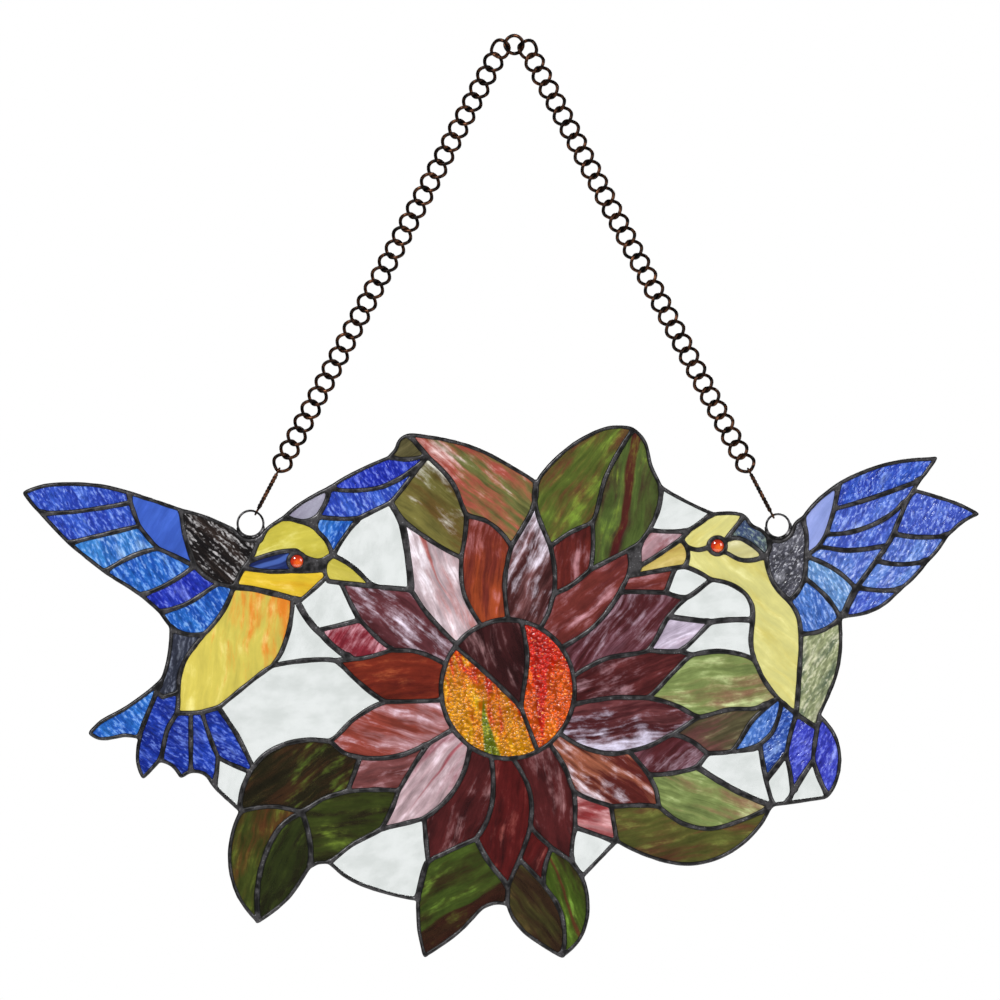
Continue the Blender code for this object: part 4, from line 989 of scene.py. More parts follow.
def window_at(square):
    """The one window that goes round a pattern square, counterclockwise."""
    found = [outline for outline in windows if holds(outline, on_pattern(square))]
    if len(found) != 1:
        raise ValueError(f"square {square} lies in {len(found)} windows")
    return found[0][::-1]


print("window corners round the left crown:", len(window_at((285, 537))))

# %% Cut one pane
UNDER_BEAD = 0.0005


def pane_plate(outline):
    """Corner places and triangles of a closed plate. The outline is moved outwards under the beads."""
    outline = moved_edge(outline, np.full(len(outline), -UNDER_BEAD))
    count = len(outline)
    here = np.arange(count)
    there = np.roll(here, -1)
    faces = triangulated(outline, np.column_stack((here, there)))
    faces = faces[in_outline_order(faces)]
    front = np.column_stack((outline[:, 0], np.full(count, -HALF_GLASS), outline[:, 1]))
    back = front * (1, -1, 1)
    triangles = np.concatenate((faces, faces[:, ::-1] + count, walls_between(here, there, count)))
    return np.concatenate((front, back)), triangles


print("the glass reaches", UNDER_BEAD * 1000, "mm under the beads")

# %% The grain and colours of a pane
PER_CENTIMETRE = 100
NO_RIB_HALF = -0.01


def pane_values(outline, places, sheet, angle, choices, number):
    """What each corner of a pane carries: its grain, which is metres along and across the streaks from the
    pane's middle with the pane's number as a third part, and the colours and shares of its sheet. A share
    changes evenly over the pane, so the corners' values give the right one everywhere between them."""
    ground, streak, wisp, streaks, wisps = SHEETS[sheet]
    turn = math.radians(angle)
    away = places[:, (0, 2)] - outline.mean(axis=0)
    grain = away @ np.array(((math.cos(turn), -math.sin(turn)), (math.sin(turn), math.cos(turn))))

    def over_pane(name):
        """How much the sheet's share changes from the pane's middle to each corner."""
        return grain @ (np.array(choices.get(name, (0, 0))) * PER_CENTIMETRE)

    offset, half, colour, growth = choices.get("rib", (0.0, NO_RIB_HALF, ground, 0.0))
    count = len(places)
    return {
        "grain": np.column_stack((grain, np.full(count, float(number)))),
        "ground": np.tile(display(*ground), (count, 1)),
        "streak": np.tile(display(*streak), (count, 1)),
        "wisp": np.tile(display(*wisp), (count, 1)),
        "shares": np.column_stack((
            streaks + over_pane("streaks"), wisps + over_pane("wisps"), 1 + over_pane("light"))),
        "rib": np.column_stack((np.full(count, offset), half + growth * grain[:, 0], np.zeros(count))),
        "rib_colour": np.tile(display(*colour), (count, 1)),
    }


print("panes that carry a rib:", sum("rib" in str(pane) for panes in PANES.values() for pane in panes))

# %% Cut all panes
def gathered(name, shapes, smooth=True):
    """One piece of several shapes, each of which is its corner places and its triangles."""
    places = [shape_places for shape_places, _ in shapes]
    shifts = np.cumsum([0] + [len(shape_places) for shape_places in places])
    triangles = [shape_triangles + shift for (_, shape_triangles), shift in zip(shapes, shifts)]
    return new_piece(name, np.concatenate(places), np.concatenate(triangles), smooth)


def cut_panes(node, panes, first_number):
    """All panes of one plain solid as one piece."""
    plates, values = [], []
    for number, (sheet, square, angle, *choices) in enumerate(panes, start=first_number):
        outline = window_at(square)
        plates.append(pane_plate(outline))
        chosen = choices[0] if choices else {}
        values.append(pane_values(outline, plates[-1][0], sheet, angle, chosen, number))
    made = gathered(node + "_glass", plates, smooth=False)
    for name in values[0]:
        kind = "FLOAT_COLOR" if values[0][name].shape[1] == 4 else "FLOAT_VECTOR"
        add_attribute(made, name, np.concatenate([value[name] for value in values]), kind)
    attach(made, "root")
    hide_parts(node)
    return made


cut_glass = {}
pane_count = 0
for node, panes in PANES.items():
    cut_glass[node] = cut_panes(node, panes, pane_count)
    pane_count += len(panes)
print("panes cut:", pane_count, "triangles:", sum(len(piece.data.polygons) for piece in cut_glass.values()))

# %% [markdown]
# ## Glass finishes
# Four kinds of sheet are used. Streaky glass is smooth with slow waves. Rippled glass, for the feathers and
# the dark napes, was rolled while it cooled and is covered with short wavy furrows that catch the light. The
# heart of the flower is granular: its surface is all small beads. The ground is clear seedy glass. They
# share one way of mixing their colours and differ in their texture. On the rippled and the granular glass
# the colour also holds painted shade in the hollows and painted highlights on the tops.

# %% Colour from the streaks
def field(finish, grain, scales, detail=2.0, roughness=0.5):
    """Noise over a pane, with spots about 1 / scale metres long along the grain and across it. The third
    scale takes each pane, by its number, to a part of the noise of its own."""
    along, across, number = grain
    return finish.noise(
        finish.at(along * scales[0], across * scales[1], number * scales[2]), 1.0, detail, roughness)


def streaky_colour(finish, grain, fineness=1.0, depth=2.2):
    """The ground colour, with the streaks and wisps laid over it. A share s of streaks covers where a field
    that is stretched along the grain rises above 1 - s. The depth is how far the glass goes darker where it
    is thick and lighter where it is thin. The two fields are given back for the glass's surface."""
    ground, streak = finish.read("ground", 0), finish.read("streak", 0)
    wisp, rib_colour = finish.read("wisp", 0), finish.read("rib_colour", 0)
    streaks, wisps, light = finish.parts(finish.read("shares"))
    rib_offset, rib_half, _ = finish.parts(finish.read("rib"))
    along, across, number = grain
    bent = across + (field(finish, grain, (26, 40, 3.1)) - 0.5) * 0.011
    drawn = (along, bent, number)
    broad = field(finish, drawn, (24, 96, 7.7), 5.0, 0.6)
    thin = field(finish, drawn, (25, 310 * fineness, 5.3), 3.0, 0.6)
    cloud = field(finish, drawn, (52, 105, 9.1), 5.0, 0.62)
    streak_mask = ((broad * 0.7 + thin * 0.3 - 0.5) * 3.6 + 0.5 + streaks).within(0.66, 1.4)
    wisp_mask = ((thin * 0.32 + cloud * 0.68 - 0.5) * 4.2 + 0.5 + wisps).within(0.85, 1.9)
    rib_edge = (bent - rib_offset).size() - rib_half * (0.7 + thin * 0.6)
    rib_mask = rib_edge.within(-0.0008, 0.0009, 1.0, 0.0)
    colour = finish.mixed(streak_mask, ground, streak)
    colour = finish.mixed(rib_mask * 0.92, colour, rib_colour)
    colour = finish.mixed(wisp_mask * (1 - rib_mask * 0.6), colour, wisp)
    shade = ((thin * 0.5 + cloud * 0.5 - 0.5) * depth + 1.0).within(0.35, 1.8, 0.35, 1.8)
    return finish.brightened(colour, light * shade), thin, cloud


def glass(name, ior=1.5, **constants):
    """A glass finish in the making, and the grain that its panes carry: along, across and number."""
    finish = Finish(name, IOR=ior, **constants)
    return finish, finish.parts(finish.read("grain"))


print("streaks, wisps and ribs are mixed in one place")

# %% Streaky glass and clear glass
HAZE, CLEAREST = display(220, 225, 223), display(238, 242, 241)


def streaky_finish(name, fineness=1.0, waves=0.35, depth=2.2):
    """Smooth glass with slow waves."""
    finish, grain = glass(name)
    colour, thin, cloud = streaky_colour(finish, grain, fineness, depth)
    finish.feed(Base_Color=colour, Roughness=0.14 + cloud * 0.14)
    finish.raised(field(finish, grain, (90, 140, 1)) + thin * 0.15, 0.0006, waves)
    return finish.material


def clear_finish():
    """Seedy glass that lets the wall behind it show, faintly grey."""
    finish, grain = glass("clear seedy glass", Transmission_Weight=1.0, Roughness=0.06)
    haze = field(finish, grain, (60, 90, 3.7), 3.0).within(0.25, 0.7)
    finish.feed(Base_Color=finish.mixed(haze, HAZE, CLEAREST))
    finish.raised(field(finish, grain, (130, 130, 1), 3.0), 0.0004, 0.35)
    return finish.material


STREAKY = streaky_finish("streaky opal glass")
FLAT = streaky_finish("even opal glass", fineness=0.7, waves=0.15, depth=0.7)
CLEAR = clear_finish()
print("smooth glass:", STREAKY.name, "and", FLAT.name, "and", CLEAR.name)

# %% Rippled glass
RIPPLE_DEPTH = 0.8
LIT_TOP = 0.17


def rippled_finish(name, across_count=540, along_count=170, light=0.62, low=0.5):
    """Furrows a few millimetres long that wander beside each other. The colour is painted darker in their
    valleys, and where they rise above low, a painted highlight in the sheet's wisp colour covers their tops,
    mixed in by the share light."""
    finish, grain = glass(name)
    colour, _, cloud = streaky_colour(finish, grain, depth=RIPPLE_DEPTH)
    along, across, number = grain
    sway = (field(finish, grain, (110, 110, 2.3)) - 0.5) * 0.0044
    furrow = field(finish, (along, across + sway, number), (along_count, across_count, 4.9))
    grit = field(finish, grain, (420, 700, 1.7), 1.0)
    # painted highlight on the furrow tops
    top = (furrow * 0.68 + grit * 0.32).within(low, low + LIT_TOP)
    # painted shade: darker in the valleys of the furrows, lighter on their tops
    painted_valley_shade = finish.brightened(colour, furrow * 1.7 + grit * 0.5 - 0.2)
    # the sheet's wisp colour serves as the colour of the painted highlight
    finish.feed(Base_Color=finish.mixed(top * light, painted_valley_shade, finish.read("wisp", 0)))
    finish.feed(Roughness=0.12 + cloud * 0.1)
    finish.raised(furrow * 0.8 + grit * 0.2, 0.0012, 0.9)
    return finish.material


RIPPLED = rippled_finish("rippled feather glass")
FINE_RIPPLED = rippled_finish("finely rippled feather glass", 620, 250, 0.6)
NAPE = rippled_finish("rippled nape glass", 420, 62, 0.85, 0.51)
# the flecks of the flecked back glass are painted highlights on the furrow tops
FLECKED = rippled_finish("flecked back glass", 640, 330, 0.75, 0.52)
print("rippled glass:", [material.name for material in (RIPPLED, FINE_RIPPLED, NAPE, FLECKED)])

# %% Granular glass
GRAINS = 430
GOLD_GLINT = display(255, 210, 84)


def granular_finish(name):
    """Small beads packed side by side, longer across than along. The colour is painted darker between the
    beads and lighter on their middles, and here and there a bead carries a painted gold glint.
    """
    finish, grain = glass(name, ior=1.42, Roughness=0.16)
    colour, _, _ = streaky_colour(finish, grain, fineness=0.8, depth=1.4)
    along, across, number = grain
    sway = field(finish, grain, (120, 120, 2.9)) - 0.5
    spot = finish.at((along + sway * 0.004) * (GRAINS * 1.35), (across + sway * 0.003) * GRAINS, number * 3.0)
    distance = finish.node("TexVoronoi", {"feature": "F1"}, {"Vector": spot, "Scale": 1.0})
    bead = distance.within(0.1, 0.8, 1.0, 0.0)
    # painted glints on some of the beads
    glint = distance.within(0.12, 0.4, 1.0, 0.0) * finish.noise(spot, 0.8, 1.0).within(0.55, 0.64)
    # painted shade between the beads and painted light on their middles
    shaded = finish.brightened(colour, 0.5 + bead * 0.8)
    finish.feed(Base_Color=finish.mixed(glint * 0.5, shaded, GOLD_GLINT))
    finish.raised(bead, 0.0008, 0.8)
    return finish.material


GRANULAR = granular_finish("granular heart glass")
print("beaded glass:", GRANULAR.name)

# %% Dress the panes
SLOT_NODES = {
    "feather_blue": ["left_wing_feathers", "left_tail_feathers", "left_far_wing_feathers",
                     "right_wing_feathers", "right_tail_feathers", "left_eye_stripe"],
    "smooth_blue": ["left_wing_shoulder", "right_wing_shoulder"],
    "slate": ["left_nape", "left_back", "right_back"],
    "yellow": ["left_crown", "left_beak", "left_belly", "right_crown", "right_beak", "right_belly",
               "right_neck_patch"],
    "orange": ["left_cheek", "heart_red", "heart_yellow"],
    "mauve": ["left_far_wing_mauve"],
    "olive": ["upper_left_leaf", "upper_left_leaf_tip", "top_leaf", "right_leaf", "lower_right_leaf",
              "bottom_left_leaf", "bottom_right_leaf"],
    "dark_leaf": ["lower_left_leaves"],
    "petal_red": ["petals_top", "petals_upper_right", "petals_right", "petals_lower_right", "petals_below",
                  "petals_lower_left", "petals_left", "heart_maroon"],
    "pale_pink": ["petal_pale_pink"],
    "mottled": ["right_flank"],
}
SLOT_OF = {node: slot for slot, nodes in SLOT_NODES.items() for node in nodes}
FINISH_OF = {"feather_blue": RIPPLED, "smooth_blue": FLAT, "yellow": FLAT, "mauve": FLAT, "slate": NAPE,
             "clear": CLEAR}
SPECIAL = {"left_eye_stripe": FLAT, "left_cheek": FLAT, "heart_red": GRANULAR, "heart_yellow": GRANULAR,
           "right_flank": RIPPLED, "right_back": FLECKED, "right_wing_feathers": FINE_RIPPLED,
           "right_tail_feathers": FINE_RIPPLED}
for node, piece in cut_glass.items():
    slot = SLOT_OF.get(node, "clear")
    piece.data.materials.append(SPECIAL.get(node, FINISH_OF.get(slot, STREAKY)))
print("panes dressed:", len(cut_glass))

# %% [markdown]
# ## Round wire
# Links, rings, ties and fillets are all round wire along some path. A tube is a circle carried along the
# path: each point of the path has two directions square to it, and the circle is drawn with those.

# %% Rings of places and the triangles between them
RIGHTWARD, BACKWARD, UPWARD = np.eye(3)


def turns_of(count):
    """Once round in this many equal steps."""
    return np.arange(count) * 2 * math.pi / count


def swung(turns, first, second):
    """The direction cos t first + sin t second for each turn t."""
    return np.cos(turns)[:, None] * first + np.sin(turns)[:, None] * second


def fan(tip, base, sides):
    """Triangles from the tip to each side of the ring of places that begins at base."""
    s = np.arange(sides)
    return np.column_stack((np.full(sides, tip), base + s, base + (s + 1) % sides))


def skin(rings, sides, closed):
    """Two triangles for each side between each ring of places and the next. If the row of rings isn't closed,
    its ends get a fan each, to two places that follow those of the rings."""
    k, s = np.meshgrid(np.arange(rings if closed else rings - 1), np.arange(sides), indexing="ij")
    here, along = k * sides, (k + 1) % rings * sides
    there = (s + 1) % sides
    sheet = np.concatenate((
        np.stack((here + s, here + there, along + there), axis=-1).reshape(-1, 3),
        np.stack((here + s, along + there, along + s), axis=-1).reshape(-1, 3),
    ))
    if closed:
        return sheet
    start, last_ring = rings * sides, (rings - 1) * sides
    return np.concatenate((sheet, fan(start, 0, sides)[:, (0, 2, 1)], fan(start + 1, last_ring, sides)))


print("triangles round two open rings of ten:", len(skin(2, 10, closed=False)))

# %% A tube along a path
def tube(path, side, radius, sides=10, closed=True):
    """Corner places and triangles of wire along the path. The circle at each point is radius times (cos t
    side + sin t third), where third is square to the path and to side. Open ends shrink to a point."""
    path, side = np.asarray(path, float), np.asarray(side, float)
    if closed:
        ahead = np.roll(path, -1, axis=0) - np.roll(path, 1, axis=0)
    else:
        ahead = np.gradient(path, axis=0)
    ahead = ahead / np.linalg.norm(ahead, axis=1)[:, None]
    side = np.broadcast_to(side, path.shape)
    side = side - ahead * (side * ahead).sum(axis=1)[:, None]
    side = side / np.linalg.norm(side, axis=1)[:, None]
    third = np.cross(ahead, side)
    turns = turns_of(sides)
    radius = np.broadcast_to(radius, len(path))[:, None, None]
    rows = path[:, None] + radius * (np.cos(turns)[None, :, None] * side[:, None]
                                     + np.sin(turns)[None, :, None] * third[:, None])
    places = rows.reshape(-1, 3)
    if not closed:
        places = np.concatenate((places, path[:1], path[-1:]))
    return places, skin(len(path), sides, closed)


TEST_PLACES, TEST_TRIANGLES = tube(np.array(((0, 0, 0), (0, 0, 1))), RIGHTWARD, 0.1, closed=False)
print("a straight piece of wire has", len(TEST_PLACES), "corner places and", len(TEST_TRIANGLES), "triangles")

# %% [markdown]
# ## The chain
# The panel hangs on steel curb chain: each link is a ring of 2 mm wire, drawn here at 2.4 mm, whose two ends
# are twisted opposite ways, so that it lies nearly flat against its neighbours. A link is a circle whose
# plane turns as it goes from one end to the other. The links of each side run straight from the top link to
# the panel's ring, a pitch of one bore apart, so that each bears on the next.

# %% Sizes of the hanging
LINK_BORE = 0.010
LINK_WIRE = 0.002
SWOLLEN_WIRE = 0.0024
LINK_TWIST = math.radians(45)
LINK_MIDDLE = (LINK_BORE + LINK_WIRE) / 2
SHOULDER_ANGLE = math.radians(72)
TOP_PITCH = 0.00955
RING_BORES = {"left": 0.0156, "right": 0.014}
RING_WIRE = 0.0015
RING_SQUARES = {"left": (250.5, 523.6), "right": (778.0, 525.8)}
TIE_WIRE = 0.0014
TIE_EYE_BORE = 0.0034
SHORTEST_TIE = 0.028
TOP_CENTRE = np.array((0, 0, -LINK_BORE / 2))
print("links of", LINK_BORE * 1000, "mm bore, rings of", [bore * 1000 for bore in RING_BORES.values()], "mm")

# %% A twisted link, and the line that a side hangs in
LINK_SIDES = 8


def unit(vector):
    """The same direction, one metre long."""
    vector = np.asarray(vector, float)
    return vector / np.linalg.norm(vector)


def link(centre, along, twist=LINK_TWIST, around=28):
    """A twisted link: at the turn u its place is the circle's, middle (cos u, 0, sin u), turned about the
    chain's own direction by twist times sin u."""
    z = unit(along)
    basis = np.stack((np.cross(BACKWARD, z), BACKWARD, z))
    u = turns_of(around)
    turn = twist * np.sin(u)
    across = LINK_MIDDLE * np.cos(u)
    path = np.column_stack((across * np.cos(turn), across * np.sin(turn), LINK_MIDDLE * np.sin(u)))
    side = np.column_stack((-np.sin(turn), np.cos(turn), np.zeros(around)))
    return tube(centre + path @ basis, side @ basis, SWOLLEN_WIRE / 2, LINK_SIDES)


def hang_line(side):
    """The straight run of one side: the direction down, the centres of the links from the top, and the centre
    and middle radius of the panel's ring."""
    spot = on_pattern(RING_SQUARES[side])
    ring_centre = np.array((spot[0], 0, spot[1]))
    sign = -1 if side == "left" else 1
    shoulder = TOP_CENTRE + TOP_PITCH * np.array(
        (sign * math.sin(SHOULDER_ANGLE), 0, -math.cos(SHOULDER_ANGLE)))
    down = unit(ring_centre - shoulder)
    ring_radius = (RING_BORES[side] + RING_WIRE) / 2
    run = np.linalg.norm(ring_centre - down * ring_radius - shoulder)
    count = int((run - LINK_MIDDLE - SHORTEST_TIE) / LINK_BORE)
    centres = shoulder + down * LINK_BORE * np.arange(count + 1)[:, None]
    return down, centres, ring_centre, ring_radius


print("links on the left:", len(hang_line("left")[1]), "and on the right:", len(hang_line("right")[1]))

# %% Make the links
hardware = {}
for side in RING_SQUARES:
    down, centres, _, _ = hang_line(side)
    links = [link(centres[0], TOP_CENTRE - centres[0])] + [link(centre, -down) for centre in centres[1:]]
    hardware[f"chain_{side}"] = gathered(f"chain_{side}_links", links)
hardware["top_link"] = gathered("top_link_wire", [link(TOP_CENTRE, RIGHTWARD, LINK_TWIST / 2, around=36)])
print("chain pieces:", list(hardware))

# %% [markdown]
# ## The rings and their solder
# The two rings of tinned wire sit in round seats in the edge of the panel and are soldered in. The solder
# fills the narrow gap below the ring and thins out on either side, so it is a crescent: wire along the seat
# that is thickest in the middle.

# %% Make the rings
SEAT_SWEEP = {"left": (15, 160), "right": (-10, 172)}
PAST_THE_SEAT = 4
CRESCENT_WIRE = 0.00125
CRESCENT_AWAY = 0.62 * RING_WIRE
CRESCENT_TIP = 0.02
CRESCENT_LUMPS = 0.18
CRESCENT_GRAIN = 0.22
RING_STEPS, RING_SIDES = 72, 14
CRESCENT_STEPS, CRESCENT_SIDES = 60, 12


def ring_and_fillet(side):
    """The ring's circle, and the crescent of solder on the arc just outside it. The crescent's radius
    follows the square root of a sine from end to end."""
    _, _, centre, radius = hang_line(side)
    around = swung(turns_of(RING_STEPS), RIGHTWARD, UPWARD)
    ring = tube(centre + radius * around, around, RING_WIRE / 2, RING_SIDES)
    start, end = SEAT_SWEEP[side]
    turns = -np.radians(np.linspace(start - PAST_THE_SEAT, end + PAST_THE_SEAT, CRESCENT_STEPS))
    share = np.sqrt(np.sin(np.linspace(CRESCENT_TIP, math.pi - CRESCENT_TIP, CRESCENT_STEPS)))
    lumps = 1 + CRESCENT_LUMPS * uneven(np.column_stack((turns, turns)), CRESCENT_GRAIN, 5)
    outward = swung(turns, RIGHTWARD, UPWARD)
    arc = centre + (radius + CRESCENT_AWAY) * outward
    return ring, tube(arc, outward, CRESCENT_WIRE * share * lumps, CRESCENT_SIDES, closed=False)


for side in RING_SQUARES:
    hardware[f"ring_{side}"] = gathered(f"ring_{side}_soldered", ring_and_fillet(side))
print("rings made:", len(RING_SQUARES))

# %% [markdown]
# ## The wire ties
# Between the last link and the ring runs a tie of thin wire, doubled and twisted on itself like a picture
# hanger's. Its two ends are small eyes. The shank is two strands that wind round the same line half a turn
# apart.

# %% Make the ties
STRAND = 0.0005
SHANK_WIRE = 0.002
TWIST_PITCH = 0.0052
EYE_PLAY = 0.0003
EYE_WIRE = 0.94 * TIE_WIRE
EYE_STEPS, STRAND_STEPS, TIE_SIDES = 24, 90, 8
IN_THE_EYE = 0.9
STRAND_AT_EYE, STRAND_WIDENS = 0.6, 9


def tie(side):
    """Two eyes and two strands. A strand is the line between the eyes plus a circle about it, once round in
    every twist pitch, that narrows towards the eyes."""
    down, centres, ring_centre, ring_radius = hang_line(side)
    eye = (TIE_EYE_BORE + TIE_WIRE) / 2
    seat = TIE_EYE_BORE / 2 - EYE_PLAY
    low = ring_centre - down * (ring_radius + seat - RING_WIRE / 2)
    high = centres[-1] + down * (LINK_MIDDLE + seat - LINK_WIRE / 2)
    around = swung(turns_of(EYE_STEPS), BACKWARD, down)
    shapes = [tube(centre + eye * around, around, EYE_WIRE / 2, TIE_SIDES) for centre in (low, high)]
    start, end = high + down * eye * IN_THE_EYE, low - down * eye * IN_THE_EYE
    length = np.linalg.norm(end - start)
    share = np.linspace(0, 1, STRAND_STEPS)
    wide = STRAND * np.minimum(1, STRAND_AT_EYE + STRAND_WIDENS * np.minimum(share, 1 - share))
    for phase in (0, math.pi):
        turns = share * length / TWIST_PITCH * 2 * math.pi + phase
        away = swung(turns, np.cross(BACKWARD, down), BACKWARD)
        strand = start + (end - start) * share[:, None] + wide[:, None] * away
        shapes.append(tube(strand, away, SHANK_WIRE / 2, TIE_SIDES, closed=False))
    return shapes


for side in RING_SQUARES:
    hardware[f"tie_{side}"] = gathered(f"tie_{side}_twisted", tie(side))
for node, piece in hardware.items():
    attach(piece, "root")
    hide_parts(node)
print("hanging pieces:", len(hardware))
print("their triangles:", sum(len(piece.data.polygons) for piece in hardware.values()))

# %% [markdown]
# ## The finish of the wire
# The chain is steel with a black oxide, with brownish patches here and there that are partly rubbed oxide
# and partly a painted sheen. The rings are tinned and stained like the seams, so they keep a greyer metal
# look, and their grey patches are partly rubbed metal and partly a painted highlight.

# %% Wire finishes
def wire_finish(name, dark, worn_and_sheen_colour, share):
    """A dark metal with patches of a second colour, partly rubbed metal and partly a painted sheen."""
    finish = Finish(name, Metallic=0.9)
    place = finish.own_place()
    patch = finish.noise(place, 260.0, 3.0)
    grit = finish.noise(place, 1600.0, 2.0)
    # patches of rubbed metal and painted sheen
    wear_and_painted_sheen = (patch * 0.7 + grit * 0.3 + share).within(0.78, 1.0)
    finish.feed(Base_Color=finish.mixed(wear_and_painted_sheen, dark, worn_and_sheen_colour))
    finish.feed(Roughness=0.34 + grit * 0.2 - wear_and_painted_sheen * 0.08)
    finish.raised(grit, 0.00008, 0.4)
    return finish.material


OXIDE = wire_finish("black oxide steel", display(20, 16, 15), display(104, 66, 44), 0.34)
TINNED = wire_finish("stained tinned wire", display(26, 25, 26), display(112, 110, 112), 0.36)
for node, piece in hardware.items():
    piece.data.materials.append(TINNED if node.startswith("ring") else OXIDE)
print("wire finishes:", OXIDE.name, "and", TINNED.name)

# %% [markdown]
# ## The eyes
# Each eye is a round jewel of pressed glass, a little over 8 mm across where it shows, held in its own little
# ring of solder. Its front is a dome and its back is flat. Light gathers at the bottom of such a dome and
# leaves its top dark, which the colour repeats softly.

# %% The turned shape of a jewel
EYE_SQUARES = {"left": (297, 561.2), "right": (717.3, 545.8)}
EYE_SETTING = 8.45 * SQUARE
UNDER_SETTING = 0.0002
JEWEL_RADIUS = EYE_SETTING - BEAD_HALF_WIDTH + UNDER_SETTING
JEWEL_DOME = 0.0024
JEWEL_TOP = -HALF_GLASS - JEWEL_DOME
JEWEL_SIDES, DOME_RINGS = 40, 12


def jewel(side):
    """A turned shape: from the middle of the flat back out to the rim, up it, and over the dome, whose
    height is its rise times the square root of 1 - r^2."""
    spot = on_pattern(EYE_SQUARES[side])
    dome = np.linspace(math.pi / 2, 0, DOME_RINGS)[:-1]
    radius = np.concatenate(((0.5, 1.0), np.sin(dome)))
    depth = np.concatenate(((HALF_GLASS, HALF_GLASS), -HALF_GLASS - JEWEL_DOME * np.cos(dome)))
    around = swung(turns_of(JEWEL_SIDES), RIGHTWARD, UPWARD)
    rings = radius[:, None, None] * around * JEWEL_RADIUS + depth[:, None, None] * BACKWARD
    ends = ((0, HALF_GLASS, 0), (0, JEWEL_TOP, 0))
    places = np.concatenate((rings.reshape(-1, 3), ends))
    triangles = skin(len(radius), JEWEL_SIDES, closed=False)
    made = new_piece(f"{side}_eye_jewel", places + (spot[0], 0, spot[1]), triangles)
    from_middle = places[:, (0, 2, 1)] * (1 / JEWEL_RADIUS, 1 / JEWEL_RADIUS, 0)
    add_attribute(made, "from_middle", from_middle)
    return made


print("jewels of", round(JEWEL_RADIUS * 2000, 2), "mm, with their domes", JEWEL_DOME * 1000, "mm high")

# %% Colour and set the jewels
JEWEL_RED, JEWEL_GLOW, JEWEL_DARK = display(206, 50, 8), display(240, 100, 26), display(122, 20, 6)


def jewel_finish():
    """Orange red, darker towards the top and with a warm glow low on one side."""
    finish = Finish("pressed glass jewel", IOR=1.52, Coat_Weight=1.0, Coat_Roughness=0.02)
    x, z, _ = finish.parts(finish.read("from_middle"))
    glow = ((x - 0.2) ** 2 + (z + 0.35) ** 2).within(0.0, 0.7, 1.0, 0.0)
    shade = (z + x * -0.4).within(0.1, 0.9)
    swirl = finish.noise(finish.at(x * 1.4, z * 1.4, 0.3), 1.6, 2.0)
    colour = finish.mixed(glow, JEWEL_RED, JEWEL_GLOW)
    colour = finish.mixed(shade * 0.6, colour, JEWEL_DARK)
    finish.feed(Base_Color=finish.brightened(colour, 0.8 + swirl * 0.4), Roughness=0.08 + swirl * 0.04)
    return finish.material


JEWEL = jewel_finish()
for side in EYE_SQUARES:
    eye = jewel(side)
    eye.data.materials.append(JEWEL)
    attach(eye, "root")
    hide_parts(f"{side}_eye")
print("jewels set:", len(EYE_SQUARES))

# %% [markdown]
# ## The room
# The panel is shown as for a catalogue: against white, looked at straight on. Dark glass in a white room
# would mirror the room and look grey. So the room is white where the camera sees it, directly or through the
# clear panes, and dim where glass and metal mirror it. Two large lamps stand in front, off to the sides,
# where a flat pane doesn't mirror them but a ripple or a bead does, and a third stands behind. The camera
# looks along +y from 3 m away.

# %% The floor
FLOOR_RADIUS = 1.2
FLOOR_LEVEL = -1.2
FLOOR_SIDES = 96
FLOOR_GREY, FLOOR_PALE = display(236, 236, 235), display(240, 240, 240)
WHITE = (1, 1, 1, 1)


def pale_floor():
    """A round disc: a ring of places and the middle, to which a fan of triangles runs."""
    edge = FLOOR_RADIUS * swung(turns_of(FLOOR_SIDES), RIGHTWARD, BACKWARD)
    places = np.concatenate((edge, np.zeros((1, 3)))) + FLOOR_LEVEL * UPWARD
    made = new_piece("floor", places, fan(FLOOR_SIDES, 0, FLOOR_SIDES), smooth=False)
    finish = Finish("pale floor", Roughness=0.8, Emission_Color=WHITE, Emission_Strength=0.4)
    cloud = finish.noise(finish.own_place(), 3.0)
    finish.feed(Base_Color=finish.mixed(cloud, FLOOR_GREY, FLOOR_PALE))
    made.data.materials.append(finish.material)


pale_floor()
print("floor laid at", FLOOR_LEVEL, "m")

# %% The lamps
AIM = (0.0, 0.0, -0.45)


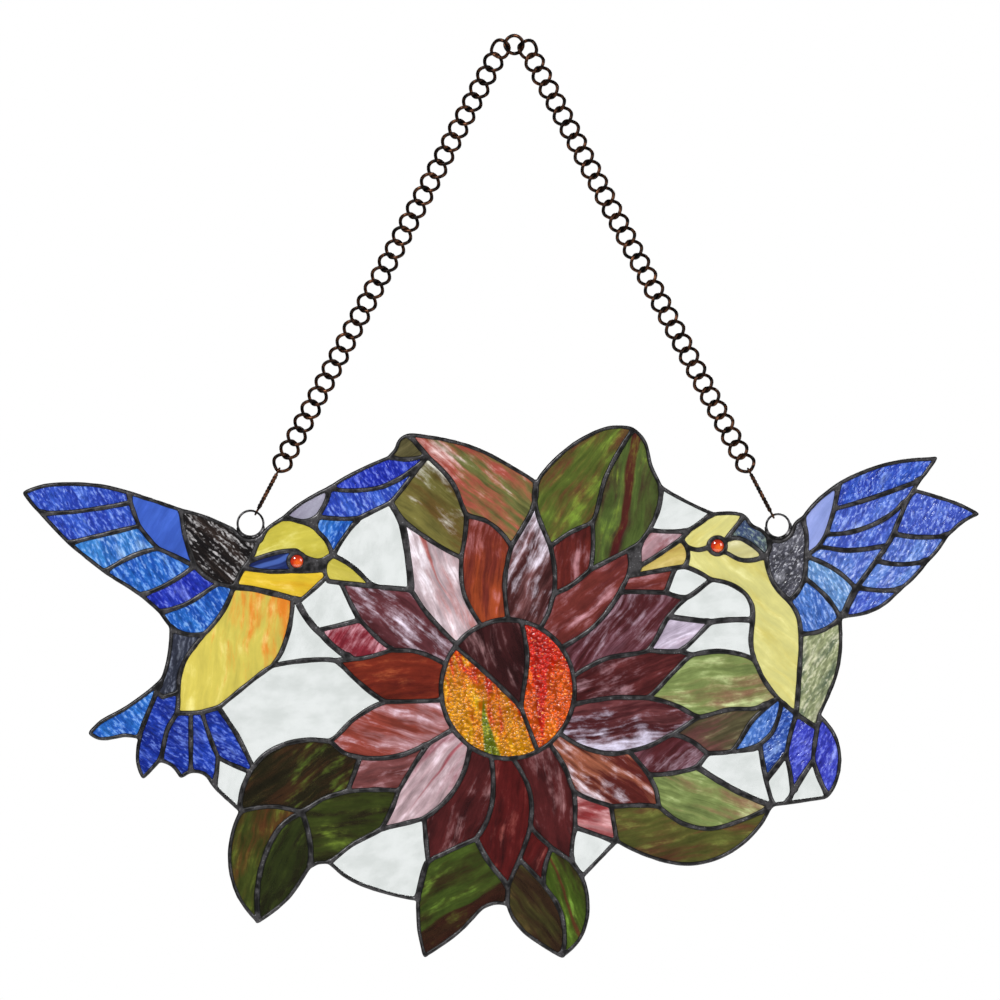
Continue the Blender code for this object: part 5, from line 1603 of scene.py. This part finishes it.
def soft_lamp(name, place, width, watts):
    """A square area light at a place, aimed at the panel: its -z axis is turned along the way there."""
    lamp = bpy.data.lights.new(name, "AREA")
    lamp.size, lamp.energy = width, watts
    made = bpy.data.objects.new(name, lamp)
    made.location = place
    way = mathutils.Vector(AIM) - mathutils.Vector(place)
    made.rotation_euler = way.to_track_quat("-Z", "Y").to_euler()
    bpy.context.scene.collection.objects.link(made)


soft_lamp("key", (-1.4, -2.0, 1.2), width=0.7, watts=70)
soft_lamp("fill", (1.8, -1.6, 0.2), width=1.2, watts=26)
soft_lamp("behind", (0.6, 2.2, 0.8), width=1.2, watts=36)
print("lamps:", [light.name for light in bpy.data.lights])

# %% The white room
def white_room(seen=1.0, mirrored=0.12):
    """A world that is white to the camera and through clear glass, and dimmer to everything else."""
    world = bpy.data.worlds.new("white room")
    world.use_nodes = True
    graph = Graph(world.node_tree)
    camera_ray = graph.node("LightPath", out="Is Camera Ray")
    direct = camera_ray.math("MAXIMUM", camera_ray, camera_ray.beside("Is Transmission Ray"))
    strength = graph.node("MapRange", {}, {"Value": direct, "To Min": mirrored, "To Max": seen})
    background = world.node_tree.nodes["Background"]
    graph.join(background.inputs["Color"], WHITE)
    graph.join(background.inputs["Strength"], strength)
    return world


bpy.context.scene.world = white_room()
bpy.context.scene.view_settings.view_transform = "Standard"
print("world:", bpy.context.scene.world.name)

# %% The camera
PHOTO_SQUARES = 1000
PHOTO_WIDTH = PHOTO_SQUARES * SQUARE
CAMERA_DISTANCE = 3.0
camera = bpy.data.cameras.new("straight on")
camera.sensor_width = 36
camera.lens = camera.sensor_width * CAMERA_DISTANCE / PHOTO_WIDTH
camera.clip_end = 50
viewer = bpy.data.objects.new("camera", camera)
middle_of_photo = on_pattern((PHOTO_SQUARES / 2, PHOTO_SQUARES / 2))
viewer.location = (middle_of_photo[0], -CAMERA_DISTANCE, middle_of_photo[1])
viewer.rotation_euler = (math.pi / 2, 0, 0)
bpy.context.scene.collection.objects.link(viewer)
bpy.context.scene.camera = viewer
print("lens:", round(camera.lens, 1), "mm")
